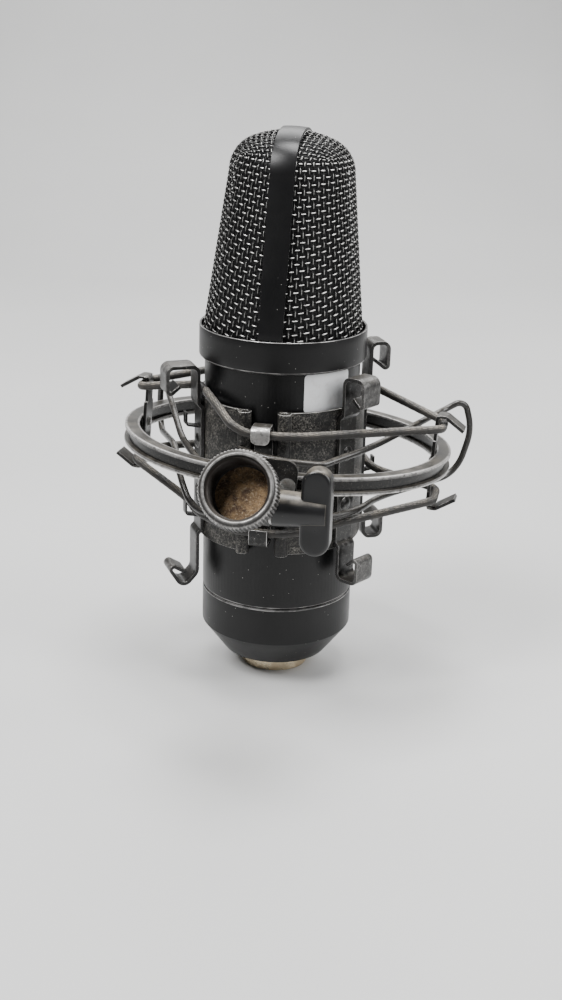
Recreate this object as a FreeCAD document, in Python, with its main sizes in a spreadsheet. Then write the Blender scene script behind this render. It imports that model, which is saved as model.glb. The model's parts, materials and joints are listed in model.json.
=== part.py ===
import FreeCAD, Part
import math
import os

import Sketcher
from FreeCAD import Placement, Rotation, Vector

# A studio condenser microphone held in a squeeze-to-open spider shock mount.
# The microphone stands on its connector ring: the origin is the middle of that
# ring's lower face, +Z runs up the microphone and -Y is the side that the
# stand adapter and the front of the head face, give or take a small turn.
# Azimuths are in degrees from the front (-Y), growing towards +X.

doc = FreeCAD.newDocument("CondenserMicrophone")

# ------------------------------------------------------------------ sizes

SIZES = {
    # turns of the sub-assemblies about the microphone's axis, degrees
    "mic_turn": -9, "mount_turn": -11, "adapter_turn": -10,
    # connector
    "xlr_radius": 9.8, "xlr_bore": 8.4, "xlr_top": 17, "insert_low": 9.5, "insert_top": 15,
    "pin_radius": 1.2, "pin_circle": 4.2, "pin_low": 1.6,
    # lower cap
    "cone_low_z": 5.4, "cone_low_radius": 15.5, "cone_round": 0.9, "cone_side_z": 14.3,
    "seam_z": 25.4, "cone_wall": 1.6, "cap_gap": 0.12,
    # tube
    "body_radius": 22.25, "body_wall": 1.4, "tube_low_z": 25.6, "tube_top_z": 97,
    "seam_bevel": 0.35,
    # label
    "label_low": 84.5, "label_high": 95.2, "label_start": 25, "label_sweep": 39,
    "label_thick": 0.12,
    # collar and head
    "collar_radius": 23.9, "collar_low": 95.5, "collar_high": 104.6,
    "collar_bore": 22.35, "collar_step": 99.5, "collar_mouth": 23.3, "collar_bevel": 0.5,
    "head_low": 100.2, "head_base": 23.05, "head_shoulder": 17.45, "shoulder_z": 147.2,
    "shoulder_mid": 16.0, "shoulder_mid_z": 152.2, "dome_start": 11.9, "dome_start_z": 155.9,
    "dome_top": 158.4,
    "mesh_thick": 0.9, "liner_gap": 1.1, "liner_thick": 0.35,
    "band_width": 6.7, "band_thick": 0.7, "band_gap": 0.02, "head_lean": 1.7,
    "base_ring_low": 97.2, "base_ring_high": 99.3, "base_ring_inner": 17.5,
    "base_ring_outer": 22.2,
    # capsule
    "capsule_radius": 14, "capsule_depth": 8, "capsule_z": 130, "membrane_radius": 11.5,
    "membrane_thick": 0.3, "membrane_recess": 1.2, "saddle_low": 99.32, "saddle_high": 121,
    "saddle_width": 12, "saddle_depth": 9.6, "saddle_foot_radius": 18.5, "saddle_foot": 2.2,
    # chassis inside the tube
    "rail_offset": 16.6, "rail_width": 7, "rail_thick": 1.6, "rail_low": 22.4, "rail_high": 95,
    "plate_radius": 19.6, "low_plate_radius": 18.8, "plate_thick": 2, "board_width": 29, "board_thick": 1.6,
    "board_low": 29, "board_high": 89, "board_back": 3.0,
    # clamp
    "pad_inner": 22.55, "pad_outer": 23.05, "shell_inner": 23.1, "shell_outer": 24.0,
    "shell_low": 43.4, "shell_high": 85, "shell_start": 14, "shell_end": 166,
    "pad_start": 23, "pad_end": 161, "pad_low": 46, "pad_high": 83,
    "knuckle_angle": 13.3, "knuckle_offset": 24.35, "knuckle_radius": 1.9,
    "knuckle_bore": 0.95, "pin_rod": 0.85, "notch_low": 57.2, "notch_high": 65.6,
    "notch_half": 12,
    # hooked strips
    "strip_width": 7, "strip_thick": 1.0, "strip_front": 60, "strip_back_left": 132,
    "strip_back_right": 117,
    "strip_face": 24.05, "strip_step": 1.2, "step_low": 45.4, "step_high": 82.2,
    "strip_bend": 1.9, "lip_bend": 0.9, "rivet_radius": 1.5, "rivet_head": 0.6,
    "rivet_low": 56.5, "rivet_high": 71.5, "tongue_reach": 3.6,
    # front link
    "link_half": 2.65, "link_face": 22.95, "link_thick": 0.9, "link_low": 47.2,
    "link_high": 82.0, "tab_reach": 28.7, "tab_drop": 4.3, "tab_rise": 4.8, "tab_bend": 1.3,
    "tab_corner": 1.7,
    "lug_low": 57.6, "lug_high": 65.0, "lug_radius": 1.9,
    # wires
    "squeeze_wire": 0.75, "cord_radius": 1.2,
    # ring: the frame's origin is the middle of its upper face
    "hoop_x": 2.3, "hoop_y": 0, "hoop_z": 72.3, "hoop_side_tilt": 3.7, "hoop_front_tilt": 3.35,
    "hoop_outer": 47.4, "hoop_inner": 43.2, "web_outer": 46.1, "web_inner": 44.5,
    "hoop_height": 5, "flange": 1.0,
    "hook_angle": 90, "hook_width": 6.4, "hook_thick": 1.0, "hook_face": 42.1,
    "hook_top": 11.4, "hook_low": -16.4, "hook_tip": 50.4, "hook_drop": 3.4, "hook_bend": 1.5,
    # stand adapter
    "pivot_reach": 57.3, "pivot_drop": -6.2, "pivot_roll": 3, "adapter_tilt": 25.6,
    "barrel_radius": 10.2, "barrel_start": 5.6, "barrel_end": 16.8, "barrel_lift": 1.3,
    "barrel_waist": 1.4, "bore_radius": 7.75, "mouth_radius": 8.7,
    "mouth_depth": 1.0, "bore_floor": 6.2, "knurl_depth": 0.5, "knurl_band": 5.2,
    "tongue_half": 4.3, "tongue_radius": 5, "disc_thick": 0.8,
    "recess_radius": 7.35, "recess_top": 7.1,
    "plate_gap": 0.15, "plate_sheet": 1.2, "plate_low": -11.4, "plate_high": 4.4,
    "plate_sweep": 26, "ear_gap": 4.65, "ear_thick": 1.4, "ear_radius": 4.9,
    "bolt_radius": 2, "bolt_clear": 2.1, "bolt_head": 3.7, "bolt_head_thick": 2.4,
    "washer_thick": 0.8, "washer_radius": 4.4, "hub_radius": 4.8, "hub_start": 7.1,
    "hub_overlap": 6.6,
    "wing_start": 14.1, "wing_end": 21.9, "wing_half": 11.4, "wing_thick": 6.2,
    "wing_round": 1.1,
}

sizes = doc.addObject("Spreadsheet::Sheet", "Sizes")
for row, (alias, value) in enumerate(SIZES.items(), start=1):
    sizes.set(f"A{row}", alias)
    sizes.set(f"B{row}", str(value))
    sizes.setAlias(f"B{row}", alias)
doc.recompute()


def size(alias):
    """A driving dimension, read back from the sheet."""
    return float(sizes.get(alias))


def number(text):
    """The value of a sum such as 'body_radius - body_wall'."""
    total = 0.0
    sign = 1
    for word in str(text).split():
        if word in "+-":
            sign = 1 if word == "+" else -1
        elif word in SIZES:
            total += sign * size(word)
        else:
            total += sign * float(word)
    return total


def formula(text):
    """The same sum as an expression on the sheet."""
    return " ".join(f"Sizes.{word}" if word in SIZES else word for word in str(text).split())


# ------------------------------------------------------------------ frames

def turned(degrees):
    """A turn about the microphone's axis."""
    return Placement(Vector(), Rotation(Vector(0, 0, 1), degrees))


def mic_frame():
    return turned(size("mic_turn"))


def mount_frame():
    return turned(size("mount_turn"))


def hoop_frame():
    """The ring hangs a little low on the right and a little high at the front."""
    tilt = Rotation(Vector(1, 0, 0), -size("hoop_front_tilt"))
    tilt = tilt.multiply(Rotation(Vector(0, 1, 0), size("hoop_side_tilt")))
    place = Placement(Vector(size("hoop_x"), size("hoop_y"), size("hoop_z")), tilt)
    return place.multiply(turned(size("mount_turn")))


def bracket_frame():
    """The ring's frame, turned to face the way the stand adapter does."""
    return hoop_frame().multiply(turned(size("adapter_turn") - size("mount_turn")))


def pivot_on_bracket():
    """The cross bolt's middle: it lies level although the ring hangs low on the right."""
    pivot = Vector(0, -size("pivot_reach"), size("pivot_drop"))
    return Placement(pivot, Rotation(Vector(0, 1, 0), -size("pivot_roll")))


def pivot_frame():
    """The middle of the cross bolt, which runs along its X."""
    return bracket_frame().multiply(pivot_on_bracket())


def adapter_frame():
    """The stand adapter's own frame: the thread opens along its +Z."""
    lift = Rotation(Vector(1, 0, 0), 90 - size("adapter_tilt"))
    return pivot_frame().multiply(Placement(Vector(), lift))


def head_frame():
    """The head sits slightly askew in its collar."""
    base = Vector(0, 0, size("collar_high"))
    lean = Placement(Vector(), Rotation(Vector(0, 1, 0), size("head_lean")))
    back = Placement(base, Rotation()).multiply(lean).multiply(Placement(-base, Rotation()))
    return back.multiply(mic_frame())


def polar(azimuth, radius, height):
    """A point at an azimuth from the front."""
    angle = math.radians(azimuth - 90)
    return Vector(radius * math.cos(angle), radius * math.sin(angle), height)


# ------------------------------------------------------------------ builders

finished = []


def keep(item, label, place=None):
    """Name a finished sub-part and put it in place."""
    item.Label = label
    if place is not None:
        item.Placement = place.multiply(item.Placement)
    finished.append(item)
    return item


def origin_plane(body, role):
    return next(part for part in body.Origin.OriginFeatures if part.Role == role)


def outline_sketch(body, role, outline):
    """A closed outline whose corners are bound to the sheet."""
    sketch = body.newObject("Sketcher::SketchObject", body.Name + "Sketch")
    sketch.AttachmentSupport = (origin_plane(body, role), "")
    sketch.MapMode = "FlatFace"
    corners = [Vector(number(across), number(up), 0) for across, up in outline]
    for index, corner in enumerate(corners):
        sketch.addGeometry(Part.LineSegment(corner, corners[(index + 1) % len(corners)]))
    for index in range(len(corners)):
        following = (index + 1) % len(corners)
        sketch.addConstraint(Sketcher.Constraint("Coincident", index, 2, following, 1))
    for index, (across, up) in enumerate(outline):
        for kind, text, axis in (("DistanceX", across, -2), ("DistanceY", up, -1)):
            if abs(number(text)) < 1e-9:
                sketch.addConstraint(Sketcher.Constraint("PointOnObject", index, 1, axis))
                continue
            rule = Sketcher.Constraint(kind, -1, 1, index, 1, number(text))
            place = sketch.addConstraint(rule)
            sketch.setExpression(f"Constraints[{place}]", formula(text))
    return sketch


def turned_body(name, outline):
    """A body turned about Z from a half outline of (radius, height) corners."""
    body = doc.addObject("PartDesign::Body", name)
    sketch = outline_sketch(body, "XZ_Plane", outline)
    turning = body.newObject("PartDesign::Revolution", name + "Turning")
    turning.Profile = sketch
    turning.ReferenceAxis = (sketch, ["V_Axis"])
    turning.Angle = 360
    sketch.Visibility = False
    doc.recompute()
    return body


def edges_at(shape, height, radius):
    """Names of the round edges at a height and radius."""
    names = []
    for index, edge in enumerate(shape.Edges, start=1):
        curve = edge.Curve
        if not isinstance(curve, Part.Circle):
            continue
        if abs(curve.Center.z - height) < 1e-4 and abs(curve.Radius - radius) < 1e-4:
            names.append(f"Edge{index}")
    return names


def round_edges(body, spots, radius):
    """Fillet the round edges at the given (radius, height) spots."""
    base = body.Tip
    names = [name for across, up in spots for name in edges_at(base.Shape, up, across)]
    fillet = body.newObject("PartDesign::Fillet", body.Name + "Round")
    fillet.Base = (base, names)
    fillet.setExpression("Radius", formula(radius))
    doc.recompute()
    return body


def rod(name, radius, length, place):
    """A cylinder bound to the sheet."""
    item = doc.addObject("Part::Cylinder", name)
    item.setExpression("Radius", formula(radius))
    item.setExpression("Height", formula(length))
    item.Placement = place
    return item


def block(name, width, depth, height, centre):
    """A box bound to the sheet, centred on a point."""
    item = doc.addObject("Part::Box", name)
    item.setExpression("Length", formula(width))
    item.setExpression("Width", formula(depth))
    item.setExpression("Height", formula(height))
    half = Vector(number(width), number(depth), number(height)) * 0.5
    item.Placement = Placement(centre - half, Rotation())
    return item


def cut(name, base, tool):
    item = doc.addObject("Part::Cut", name)
    item.Base = base
    item.Tool = tool
    return item


def fused(name, pieces):
    item = doc.addObject("Part::MultiFuse", name)
    item.Shapes = pieces
    return item


def grouped(name, pieces):
    """Separate solids that share one node."""
    item = doc.addObject("Part::Compound", name)
    item.Links = pieces
    return item


def curved_wall(name, inner, outer, low, high, start, sweep):
    """Part of a tube's wall, from one azimuth round to another."""
    walls = []
    for part, radius in (("Outer", outer), ("Inner", inner)):
        item = doc.addObject("Part::Cylinder", name + part)
        item.setExpression("Radius", formula(radius))
        item.setExpression("Height", f"{formula(high)} - ({formula(low)})")
        item.Angle = sweep
        spin = Rotation(Vector(0, 0, 1), start - 90)
        item.Placement = Placement(Vector(0, 0, number(low)), spin)
        walls.append(item)
    return cut(name, *walls)


def shaped(name, shape):
    """A piece made directly from curves."""
    item = doc.addObject("Part::Feature", name)
    item.Shape = shape
    return item


def bent_edges(points, radii, shift):
    """Straight runs and arcs through flat points, moved sideways by shift."""
    def side(first, second):
        run = (second - first).normalize()
        return Vector(-run.y, run.x, 0) * shift

    edges = []
    last = points[0] + side(points[0], points[1])
    for index in range(1, len(points) - 1):
        before = (points[index - 1] - points[index]).normalize()
        after = (points[index + 1] - points[index]).normalize()
        half = before.getAngle(after) / 2
        reach = radii[index - 1] / math.tan(half)
        middle = (before + after).normalize() * (radii[index - 1] / math.sin(half))
        centre = points[index] + middle
        start = points[index] + before * reach + side(points[index - 1], points[index])
        end = points[index] + after * reach + side(points[index], points[index + 1])
        bulge = centre - (before + after).normalize() * start.distanceToPoint(centre)
        edges.append(Part.LineSegment(last, start).toShape())
        edges.append(Part.Arc(start, bulge, end).toShape())
        last = end
    finish = points[-1] + side(points[-2], points[-1])
    edges.append(Part.LineSegment(last, finish).toShape())
    return edges


def bent_sheet(points, radii, thickness, width):
    """Sheet bent through (reach, height) corners, as wide as width along Y."""
    flat = [Vector(across, up, 0) for across, up in points]
    left = bent_edges(flat, radii, thickness / 2)
    right = bent_edges(flat, radii, -thickness / 2)
    ends = []
    for index, parameter in ((0, "FirstParameter"), (-1, "LastParameter")):
        corners = [side[index].valueAt(getattr(side[index], parameter)) for side in (left, right)]
        ends.append(Part.LineSegment(*corners).toShape())
    wire = Part.Wire(Part.__sortEdges__(left + right + ends))
    solid = Part.Face(wire).extrude(Vector(0, 0, width))
    solid.translate(Vector(0, 0, -width / 2))
    solid.rotate(Vector(), Vector(1, 0, 0), 90)
    return solid


def route_edges(points, radii):
    """Straight runs joined by tangent arcs through points in space."""
    edges = []
    last = points[0]
    for index in range(1, len(points) - 1):
        before = (points[index - 1] - points[index]).normalize()
        after = (points[index + 1] - points[index]).normalize()
        half = before.getAngle(after) / 2
        reach = radii[index - 1] / math.tan(half)
        towards = (before + after).normalize()
        centre = points[index] + towards * (radii[index - 1] / math.sin(half))
        start = points[index] + before * reach
        end = points[index] + after * reach
        edges.append(Part.LineSegment(last, start).toShape())
        edges.append(Part.Arc(start, centre - towards * radii[index - 1], end).toShape())
        last = end
    edges.append(Part.LineSegment(last, points[-1]).toShape())
    return edges


def easy_radii(points, tightest):
    """Bend radii as large as the runs beside each point allow."""
    radii = []
    for index in range(1, len(points) - 1):
        before = points[index - 1] - points[index]
        after = points[index + 1] - points[index]
        half = before.getAngle(after) / 2
        room = 0.45 * min(before.Length, after.Length) * math.tan(half)
        radii.append(min(room, tightest.get(index, room)))
    return radii


def swept_tube(points, tube_radius, tightest):
    """A round wire or cord along a route."""
    radii = easy_radii(points, tightest)
    path = Part.Wire(route_edges(points, radii))
    start = (points[1] - points[0]).normalize()
    ring = Part.Wire([Part.Circle(points[0], start, tube_radius).toShape()])
    tube = path.makePipeShell([ring], True, False)
    wanted = path.Length * math.pi * tube_radius ** 2
    if abs(tube.Volume - wanted) > 0.02 * wanted:
        raise ValueError("a swept tube has the wrong volume")
    print("bend radii", [round(radius, 1) for radius in radii])
    return tube


# ------------------------------------------------------------------ connector

def build_connector():
    shell = turned_body("xlr_shell", [
        ("xlr_bore", 0), ("xlr_radius", 0), ("xlr_radius", "xlr_top"), ("xlr_bore", "xlr_top")])
    round_edges(shell, [(size("xlr_radius"), 0)], "0.3")
    keep(shell, "xlr_shell")
    insert = turned_body("InsertTurned", [
        (0, "insert_low"), ("xlr_bore", "insert_low"), ("xlr_bore", "insert_top"),
        (0, "insert_top")])
    sockets = grouped("XlrSockets", pin_rods("XlrSocket", "insert_low"))
    keep(cut("XlrInsert", insert, sockets), "xlr_insert")
    keep(grouped("XlrPins", pin_rods("XlrPin", "pin_low")), "xlr_pins")


def pin_rods(name, low):
    """Three contact pins at the corners of a triangle, up to the insert's back."""
    rods = []
    for index, azimuth in enumerate((0, 90, -90)):
        foot = polar(azimuth + size("mic_turn"), size("pin_circle"), size(low))
        rods.append(rod(f"{name}{index}", "pin_radius", f"insert_top - {low}",
                        Placement(foot, Rotation())))
    return rods


# ------------------------------------------------------------------ casing

def build_casing():
    cap = turned_body("base_cone", [
        ("xlr_radius + cap_gap", "cone_low_z"), ("cone_low_radius", "cone_low_z"),
        ("body_radius", "cone_side_z"), ("body_radius", "seam_z - seam_bevel"),
        ("body_radius - seam_bevel", "seam_z"), ("body_radius - body_wall - cap_gap", "seam_z"),
        ("body_radius - body_wall - cap_gap", "seam_z + 3.4"),
        ("body_radius - body_wall - cap_gap - cone_wall", "seam_z + 3.4"),
        ("body_radius - body_wall - cap_gap - cone_wall", "cone_side_z + 0.6"),
        ("cone_low_radius - 1.4", "cone_low_z + 2"), ("xlr_radius + cap_gap", "cone_low_z + 2")])
    round_edges(cap, [(size("cone_low_radius"), size("cone_low_z"))], "cone_round")
    keep(cap, "base_cone")
    tube = turned_body("body_tube", [
        ("body_radius - body_wall", "tube_low_z"), ("body_radius - seam_bevel", "tube_low_z"),
        ("body_radius", "tube_low_z + seam_bevel"), ("body_radius", "tube_top_z"),
        ("body_radius - body_wall", "tube_top_z")])
    keep(tube, "body_tube")
    label = curved_wall("InfoLabel", "body_radius + 0.01", "body_radius + 0.01 + label_thick",
                        "label_low", "label_high", size("label_start"), size("label_sweep"))
    keep(label, "info_label", mic_frame())
    collar = turned_body("head_collar", [
        ("collar_bore", "collar_low"), ("collar_radius - collar_bevel", "collar_low"),
        ("collar_radius", "collar_low + collar_bevel"), ("collar_radius", "collar_high"),
        ("collar_mouth", "collar_high"), ("collar_mouth", "collar_step"),
        ("collar_bore", "collar_step")])
    keep(collar, "head_collar")
    ring = turned_body("grille_base_ring", [
        ("base_ring_inner", "base_ring_low"), ("base_ring_outer", "base_ring_low"),
        ("base_ring_outer", "base_ring_high"), ("base_ring_inner", "base_ring_high")])
    keep(ring, "grille_base_ring")


# ------------------------------------------------------------------ head

def head_curve(inset):
    """Half of the head's outline, a distance inside its outer face."""
    line = Part.LineSegment(
        Vector(size("head_base") - inset, 0, size("head_low")),
        Vector(size("head_shoulder") - inset, 0, size("shoulder_z")))
    squeeze = (size("head_shoulder") - inset) / size("head_shoulder")
    drop = inset

    def spot(across, up):
        return Vector(size(across) * squeeze, 0, size(up) - drop * dome_share(size(up)))

    shoulder = Part.Arc(line.EndPoint, spot("shoulder_mid", "shoulder_mid_z"),
                        spot("dome_start", "dome_start_z"))
    top = size("dome_top") - drop
    edge = shoulder.EndPoint
    ball = (edge.x ** 2 + (top - edge.z) ** 2) / (2 * (top - edge.z))
    half_way = edge.x / 2
    sag = ball - math.sqrt(ball ** 2 - half_way ** 2)
    dome = Part.Arc(edge, Vector(half_way, 0, top - sag), Vector(0, 0, top))
    return [line.toShape(), shoulder.toShape(), dome.toShape()]


def dome_share(height):
    """How much of an inset shows as height: none at the shoulder, all at the top."""
    return (height - size("shoulder_z")) / (size("dome_top") - size("shoulder_z"))


def head_shell(outer_inset, inner_inset):
    """A closed shell between two insets of the head's outline."""
    outer = head_curve(outer_inset)
    inner = head_curve(inner_inset)
    foot = Part.LineSegment(inner[0].Vertexes[0].Point, outer[0].Vertexes[0].Point).toShape()
    top = Part.LineSegment(
        Vector(0, 0, size("dome_top") - inner_inset),
        Vector(0, 0, size("dome_top") - outer_inset)).toShape()
    wire = Part.Wire(Part.__sortEdges__(outer + inner + [foot, top]))
    return Part.Face(wire).revolve(Vector(), Vector(0, 0, 1), 360)


def build_head():
    place = head_frame()
    mesh = shaped("GrilleMesh", head_shell(0, size("mesh_thick")))
    keep(mesh, "grille_mesh", place)
    liner_out = size("mesh_thick") + size("liner_gap")
    liner = shaped("GrilleLiner", head_shell(liner_out, liner_out + size("liner_thick")))
    keep(liner, "grille_liner", place)
    lift = size("band_gap")
    skin = head_shell(-lift - size("band_thick"), -lift)
    slab = Part.makeBox(size("band_width"), 80, 80,
                        Vector(-size("band_width") / 2, -40, size("collar_high") + 0.1))
    keep(shaped("GrilleBand", skin.common(slab)), "grille_band", place)


# ------------------------------------------------------------------ capsule

def facing_front(height, depth):
    """A frame whose Z points out of the front, at a depth from the axis."""
    return Placement(Vector(0, -depth, height), Rotation(Vector(1, 0, 0), 90))


def build_capsule():
    place = mic_frame()
    half = size("capsule_depth") / 2
    housing = turned_body("capsule_housing", [
        (0, "0 - 0.5"), ("membrane_radius", "0 - 0.5"), ("membrane_radius", "membrane_recess - 4"),
        ("membrane_radius + 0.8", "0 - 4"), ("capsule_radius - 0.6", "0 - 4"),
        ("capsule_radius", "0.6 - 4"), ("capsule_radius", "4 - 0.6"),
        ("capsule_radius - 0.6", "4"), ("membrane_radius + 0.8", "4"),
        ("membrane_radius", "4 - membrane_recess"), ("membrane_radius", "0.5"), (0, "0.5")])
    housing.Placement = facing_front(size("capsule_z"), 0)
    keep(housing, "capsule_housing", place)
    discs = []
    for index, depth in enumerate((half - 2.2, -half + 1.9)):
        discs.append(rod(f"Membrane{index}", "membrane_radius - 0.05", "membrane_thick",
                         facing_front(size("capsule_z"), depth)))
    keep(grouped("CapsuleDiaphragms", discs), "capsule_diaphragms", place)
    column = (size("saddle_low") + size("saddle_high")) / 2
    post = block("SaddlePost", "saddle_width", "saddle_depth", "saddle_high - saddle_low",
                 Vector(0, 0, column))
    foot = rod("SaddleFoot", "saddle_foot_radius", "saddle_foot",
               Placement(Vector(0, 0, size("saddle_low")), Rotation()))
    seat = rod("SaddleSeat", "capsule_radius + 0.1", "saddle_depth + 2",
               facing_front(size("capsule_z"), -size("saddle_depth") / 2 - 1))
    saddle = cut("CapsuleSaddle", fused("SaddleBlank", [post, foot]), seat)
    holes = grouped("SaddleHoles", screw_shanks("SaddleHole"))
    keep(cut("CapsuleSaddleDrilled", saddle, holes), "capsule_saddle", place)
    screws = []
    for index, shank in enumerate(screw_shanks("SaddleScrew")):
        head = rod(f"SaddleScrewHead{index}", "1.9", "1.1", Placement(
            Vector(shank.Placement.Base.x, 0, size("saddle_low") + size("saddle_foot")), Rotation()))
        screws.append(fused(f"SaddleScrewWhole{index}", [shank, head]))
    keep(grouped("CapsuleScrews", screws), "capsule_screws", place)


def screw_shanks(name):
    """The two screws that hold the saddle down."""
    shanks = []
    for index, side in enumerate((-1, 1)):
        foot = Vector(side * 11.5, 0, size("saddle_low"))
        shanks.append(rod(f"{name}{index}", "1", "saddle_foot", Placement(foot, Rotation())))
    return shanks


# ------------------------------------------------------------------ chassis

def build_chassis():
    place = mic_frame()
    middle = (size("rail_low") + size("rail_high")) / 2
    rails = []
    for index, side in enumerate((-1, 1)):
        centre = Vector(side * size("rail_offset"), 0, middle)
        rails.append(block(f"Rail{index}", "rail_thick", "rail_width",
                           "rail_high - rail_low", centre))
    keep(grouped("ChassisRails", rails), "chassis_rails", place)
    for label, low, radius in (("chassis_bottom_plate", "rail_low - plate_thick", "low_plate_radius"),
                               ("chassis_top_plate", "rail_high", "plate_radius")):
        plate = turned_body(label, [
            (3, low), (radius, low), (radius, low + " + plate_thick"),
            (3, low + " + plate_thick")])
        keep(plate, label)
    screws = []
    for side in (-1, 1):
        for low in (size("rail_low") + 5, size("rail_high") - 7):
            tag = len(screws)
            spot = Vector(side * (size("rail_offset") - 0.8), 0, low)
            turn = Rotation(Vector(0, 1, 0), -90 * side)
            screws.append(rod(f"RailScrew{tag}", "1.6", "1.2", Placement(spot, turn)))
    keep(grouped("ChassisScrews", screws), "chassis_screws", place)
    height = (size("board_low") + size("board_high")) / 2
    board = block("CircuitBoard", "board_width", "board_thick", "board_high - board_low",
                  Vector(0, size("board_back"), height))
    keep(board, "circuit_board", place)
    face = size("board_back") - size("board_thick") / 2
    parts = []
    for across, up, radius, depth in ((-8, 78, 3.2, 8), (0, 79, 2.5, 6), (8, 77, 3.2, 8),
                                      (-7, 66, 2.5, 7), (6, 64, 2.5, 5)):
        tag = len(parts)
        parts.append(rod(f"Capacitor{tag}", str(radius), str(depth),
                         Placement(Vector(across, face, up), Rotation(Vector(1, 0, 0), 90))))
    for across, up in ((-9, 56), (0, 57), (9, 55)):
        tag = len(parts)
        parts.append(block(f"Chip{tag}", "4", "2.2", "4.6", Vector(across, face - 1.1, up)))
    keep(grouped("BoardParts", parts), "board_parts", place)
    core = block("OutputTransformer", "17", "11", "15", Vector(0, face - 5.5, 40))
    keep(core, "output_transformer", place)


# ------------------------------------------------------------------ clamp

def build_clamp_side(side, word):
    """One sprung shell with its pad. side is -1 for left and 1 for right."""
    place = mount_frame()

    def wall(name, inner, outer, low, high, start, end):
        first = start if side > 0 else -end
        return curved_wall(name + word, inner, outer, low, high, first, end - start)

    plain = wall("Shell", "shell_inner", "shell_outer", "shell_low", "shell_high",
                 size("shell_start"), size("shell_end"))
    hinge = polar(side * size("knuckle_angle"), size("knuckle_offset"), size("shell_low"))
    upright = Placement(hinge, Rotation())
    knuckle = rod("Knuckle" + word, "knuckle_radius", "shell_high - shell_low", upright)
    bore = rod("KnuckleBore" + word, "knuckle_bore", "shell_high - shell_low", upright)
    notch = wall("Notch", "shell_inner - 1.2", "shell_outer + 4", "notch_low", "notch_high",
                 size("knuckle_angle") - size("notch_half"),
                 size("knuckle_angle") + size("notch_half"))
    whole = fused("ShellWhole" + word, [plain, knuckle])
    shell = cut("ClampShell" + word, cut("ShellBored" + word, whole, bore), notch)
    keep(shell, "clamp_shell_" + word, place)
    pad = wall("Pad", "pad_inner", "pad_outer", "pad_low", "pad_high",
               size("pad_start"), size("pad_end"))
    keep(pad, "clamp_pad_" + word, place)


def strip_points(rise, reach_high, reach_low, opened):
    """Centre line of a hooked strip, from its upper lip to its lower lip."""
    face = size("strip_face") + size("strip_thick") / 2
    stand = face + size("strip_step")
    top = 94.1 + rise
    points = [(reach_high - 3.6, top - 5.4), (reach_high, top - 8.4), (reach_high, top),
              (stand, top), (stand, size("step_high") + 1.1), (face, size("step_high")),
              (face, size("step_low")), (stand, size("step_low") - 1.1)]
    bends = [size("lip_bend"), size("strip_bend"), size("strip_bend"), 1.2, 1.2, 1.2, 1.2]
    if opened:
        points += [(stand, 32.2), (30.0, 27.5), (reach_low, 36.3), (reach_low - 6.2, 32.6)]
        bends += [3.2, 2.2, size("lip_bend")]
    else:
        low = 34.6 + rise
        points += [(stand, low), (reach_low, low), (reach_low, low + 8.2),
                   (reach_low - 3.4, low + 5.2)]
        bends += [size("strip_bend"), size("strip_bend"), size("lip_bend")]
    return points, bends


def tongue(height):
    """A lanced tongue that keeps the elastic loop on the strip."""
    face = size("strip_face") + size("strip_thick")
    reach = face + size("tongue_reach")
    points = [(face - 0.2, height - 2.6), (reach, height - 1.9), (reach, height + 1.8)]
    return bent_sheet(points, [0.9], 0.6, 2.6)


def build_strip(azimuth, label, rise, reach_high, reach_low, opened, tongues):
    points, bends = strip_points(rise, reach_high, reach_low, opened)
    strip = bent_sheet(points, bends, size("strip_thick"), size("strip_width"))
    for height in tongues:
        strip = strip.fuse(tongue(height))
    for height in (size("rivet_low"), size("rivet_high")):
        hole = Part.makeCylinder(size("rivet_radius"), 6, Vector(20, 0, height), Vector(1, 0, 0))
        strip = strip.cut(hole)
    spin = Placement(Vector(), Rotation(Vector(0, 0, 1), azimuth - 90))
    keep(shaped(label.title().replace("_", ""), strip), label, mount_frame().multiply(spin))


def build_rivets(side, word):
    """Rivets through one shell's two strips, with low domed heads outside."""
    pieces = []
    outside = size("strip_face") + size("strip_thick")
    for azimuth in (size("strip_front"), size("strip_back_" + word)):
        for height in (size("rivet_low"), size("rivet_high")):
            start = size("shell_outer") + 0.02
            shank = Part.makeCylinder(size("rivet_radius") - 0.02, outside - start,
                                      Vector(start, 0, height), Vector(1, 0, 0))
            head = Part.makeCone(2.3, 1.3, size("rivet_head"),
                                 Vector(outside, 0, height), Vector(1, 0, 0))
            rivet = shank.fuse(head)
            rivet.rotate(Vector(), Vector(0, 0, 1), side * azimuth - 90)
            pieces.append(rivet)
    keep(shaped("Rivets" + word, Part.makeCompound(pieces)), "strip_rivets_" + word, mount_frame())


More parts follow.
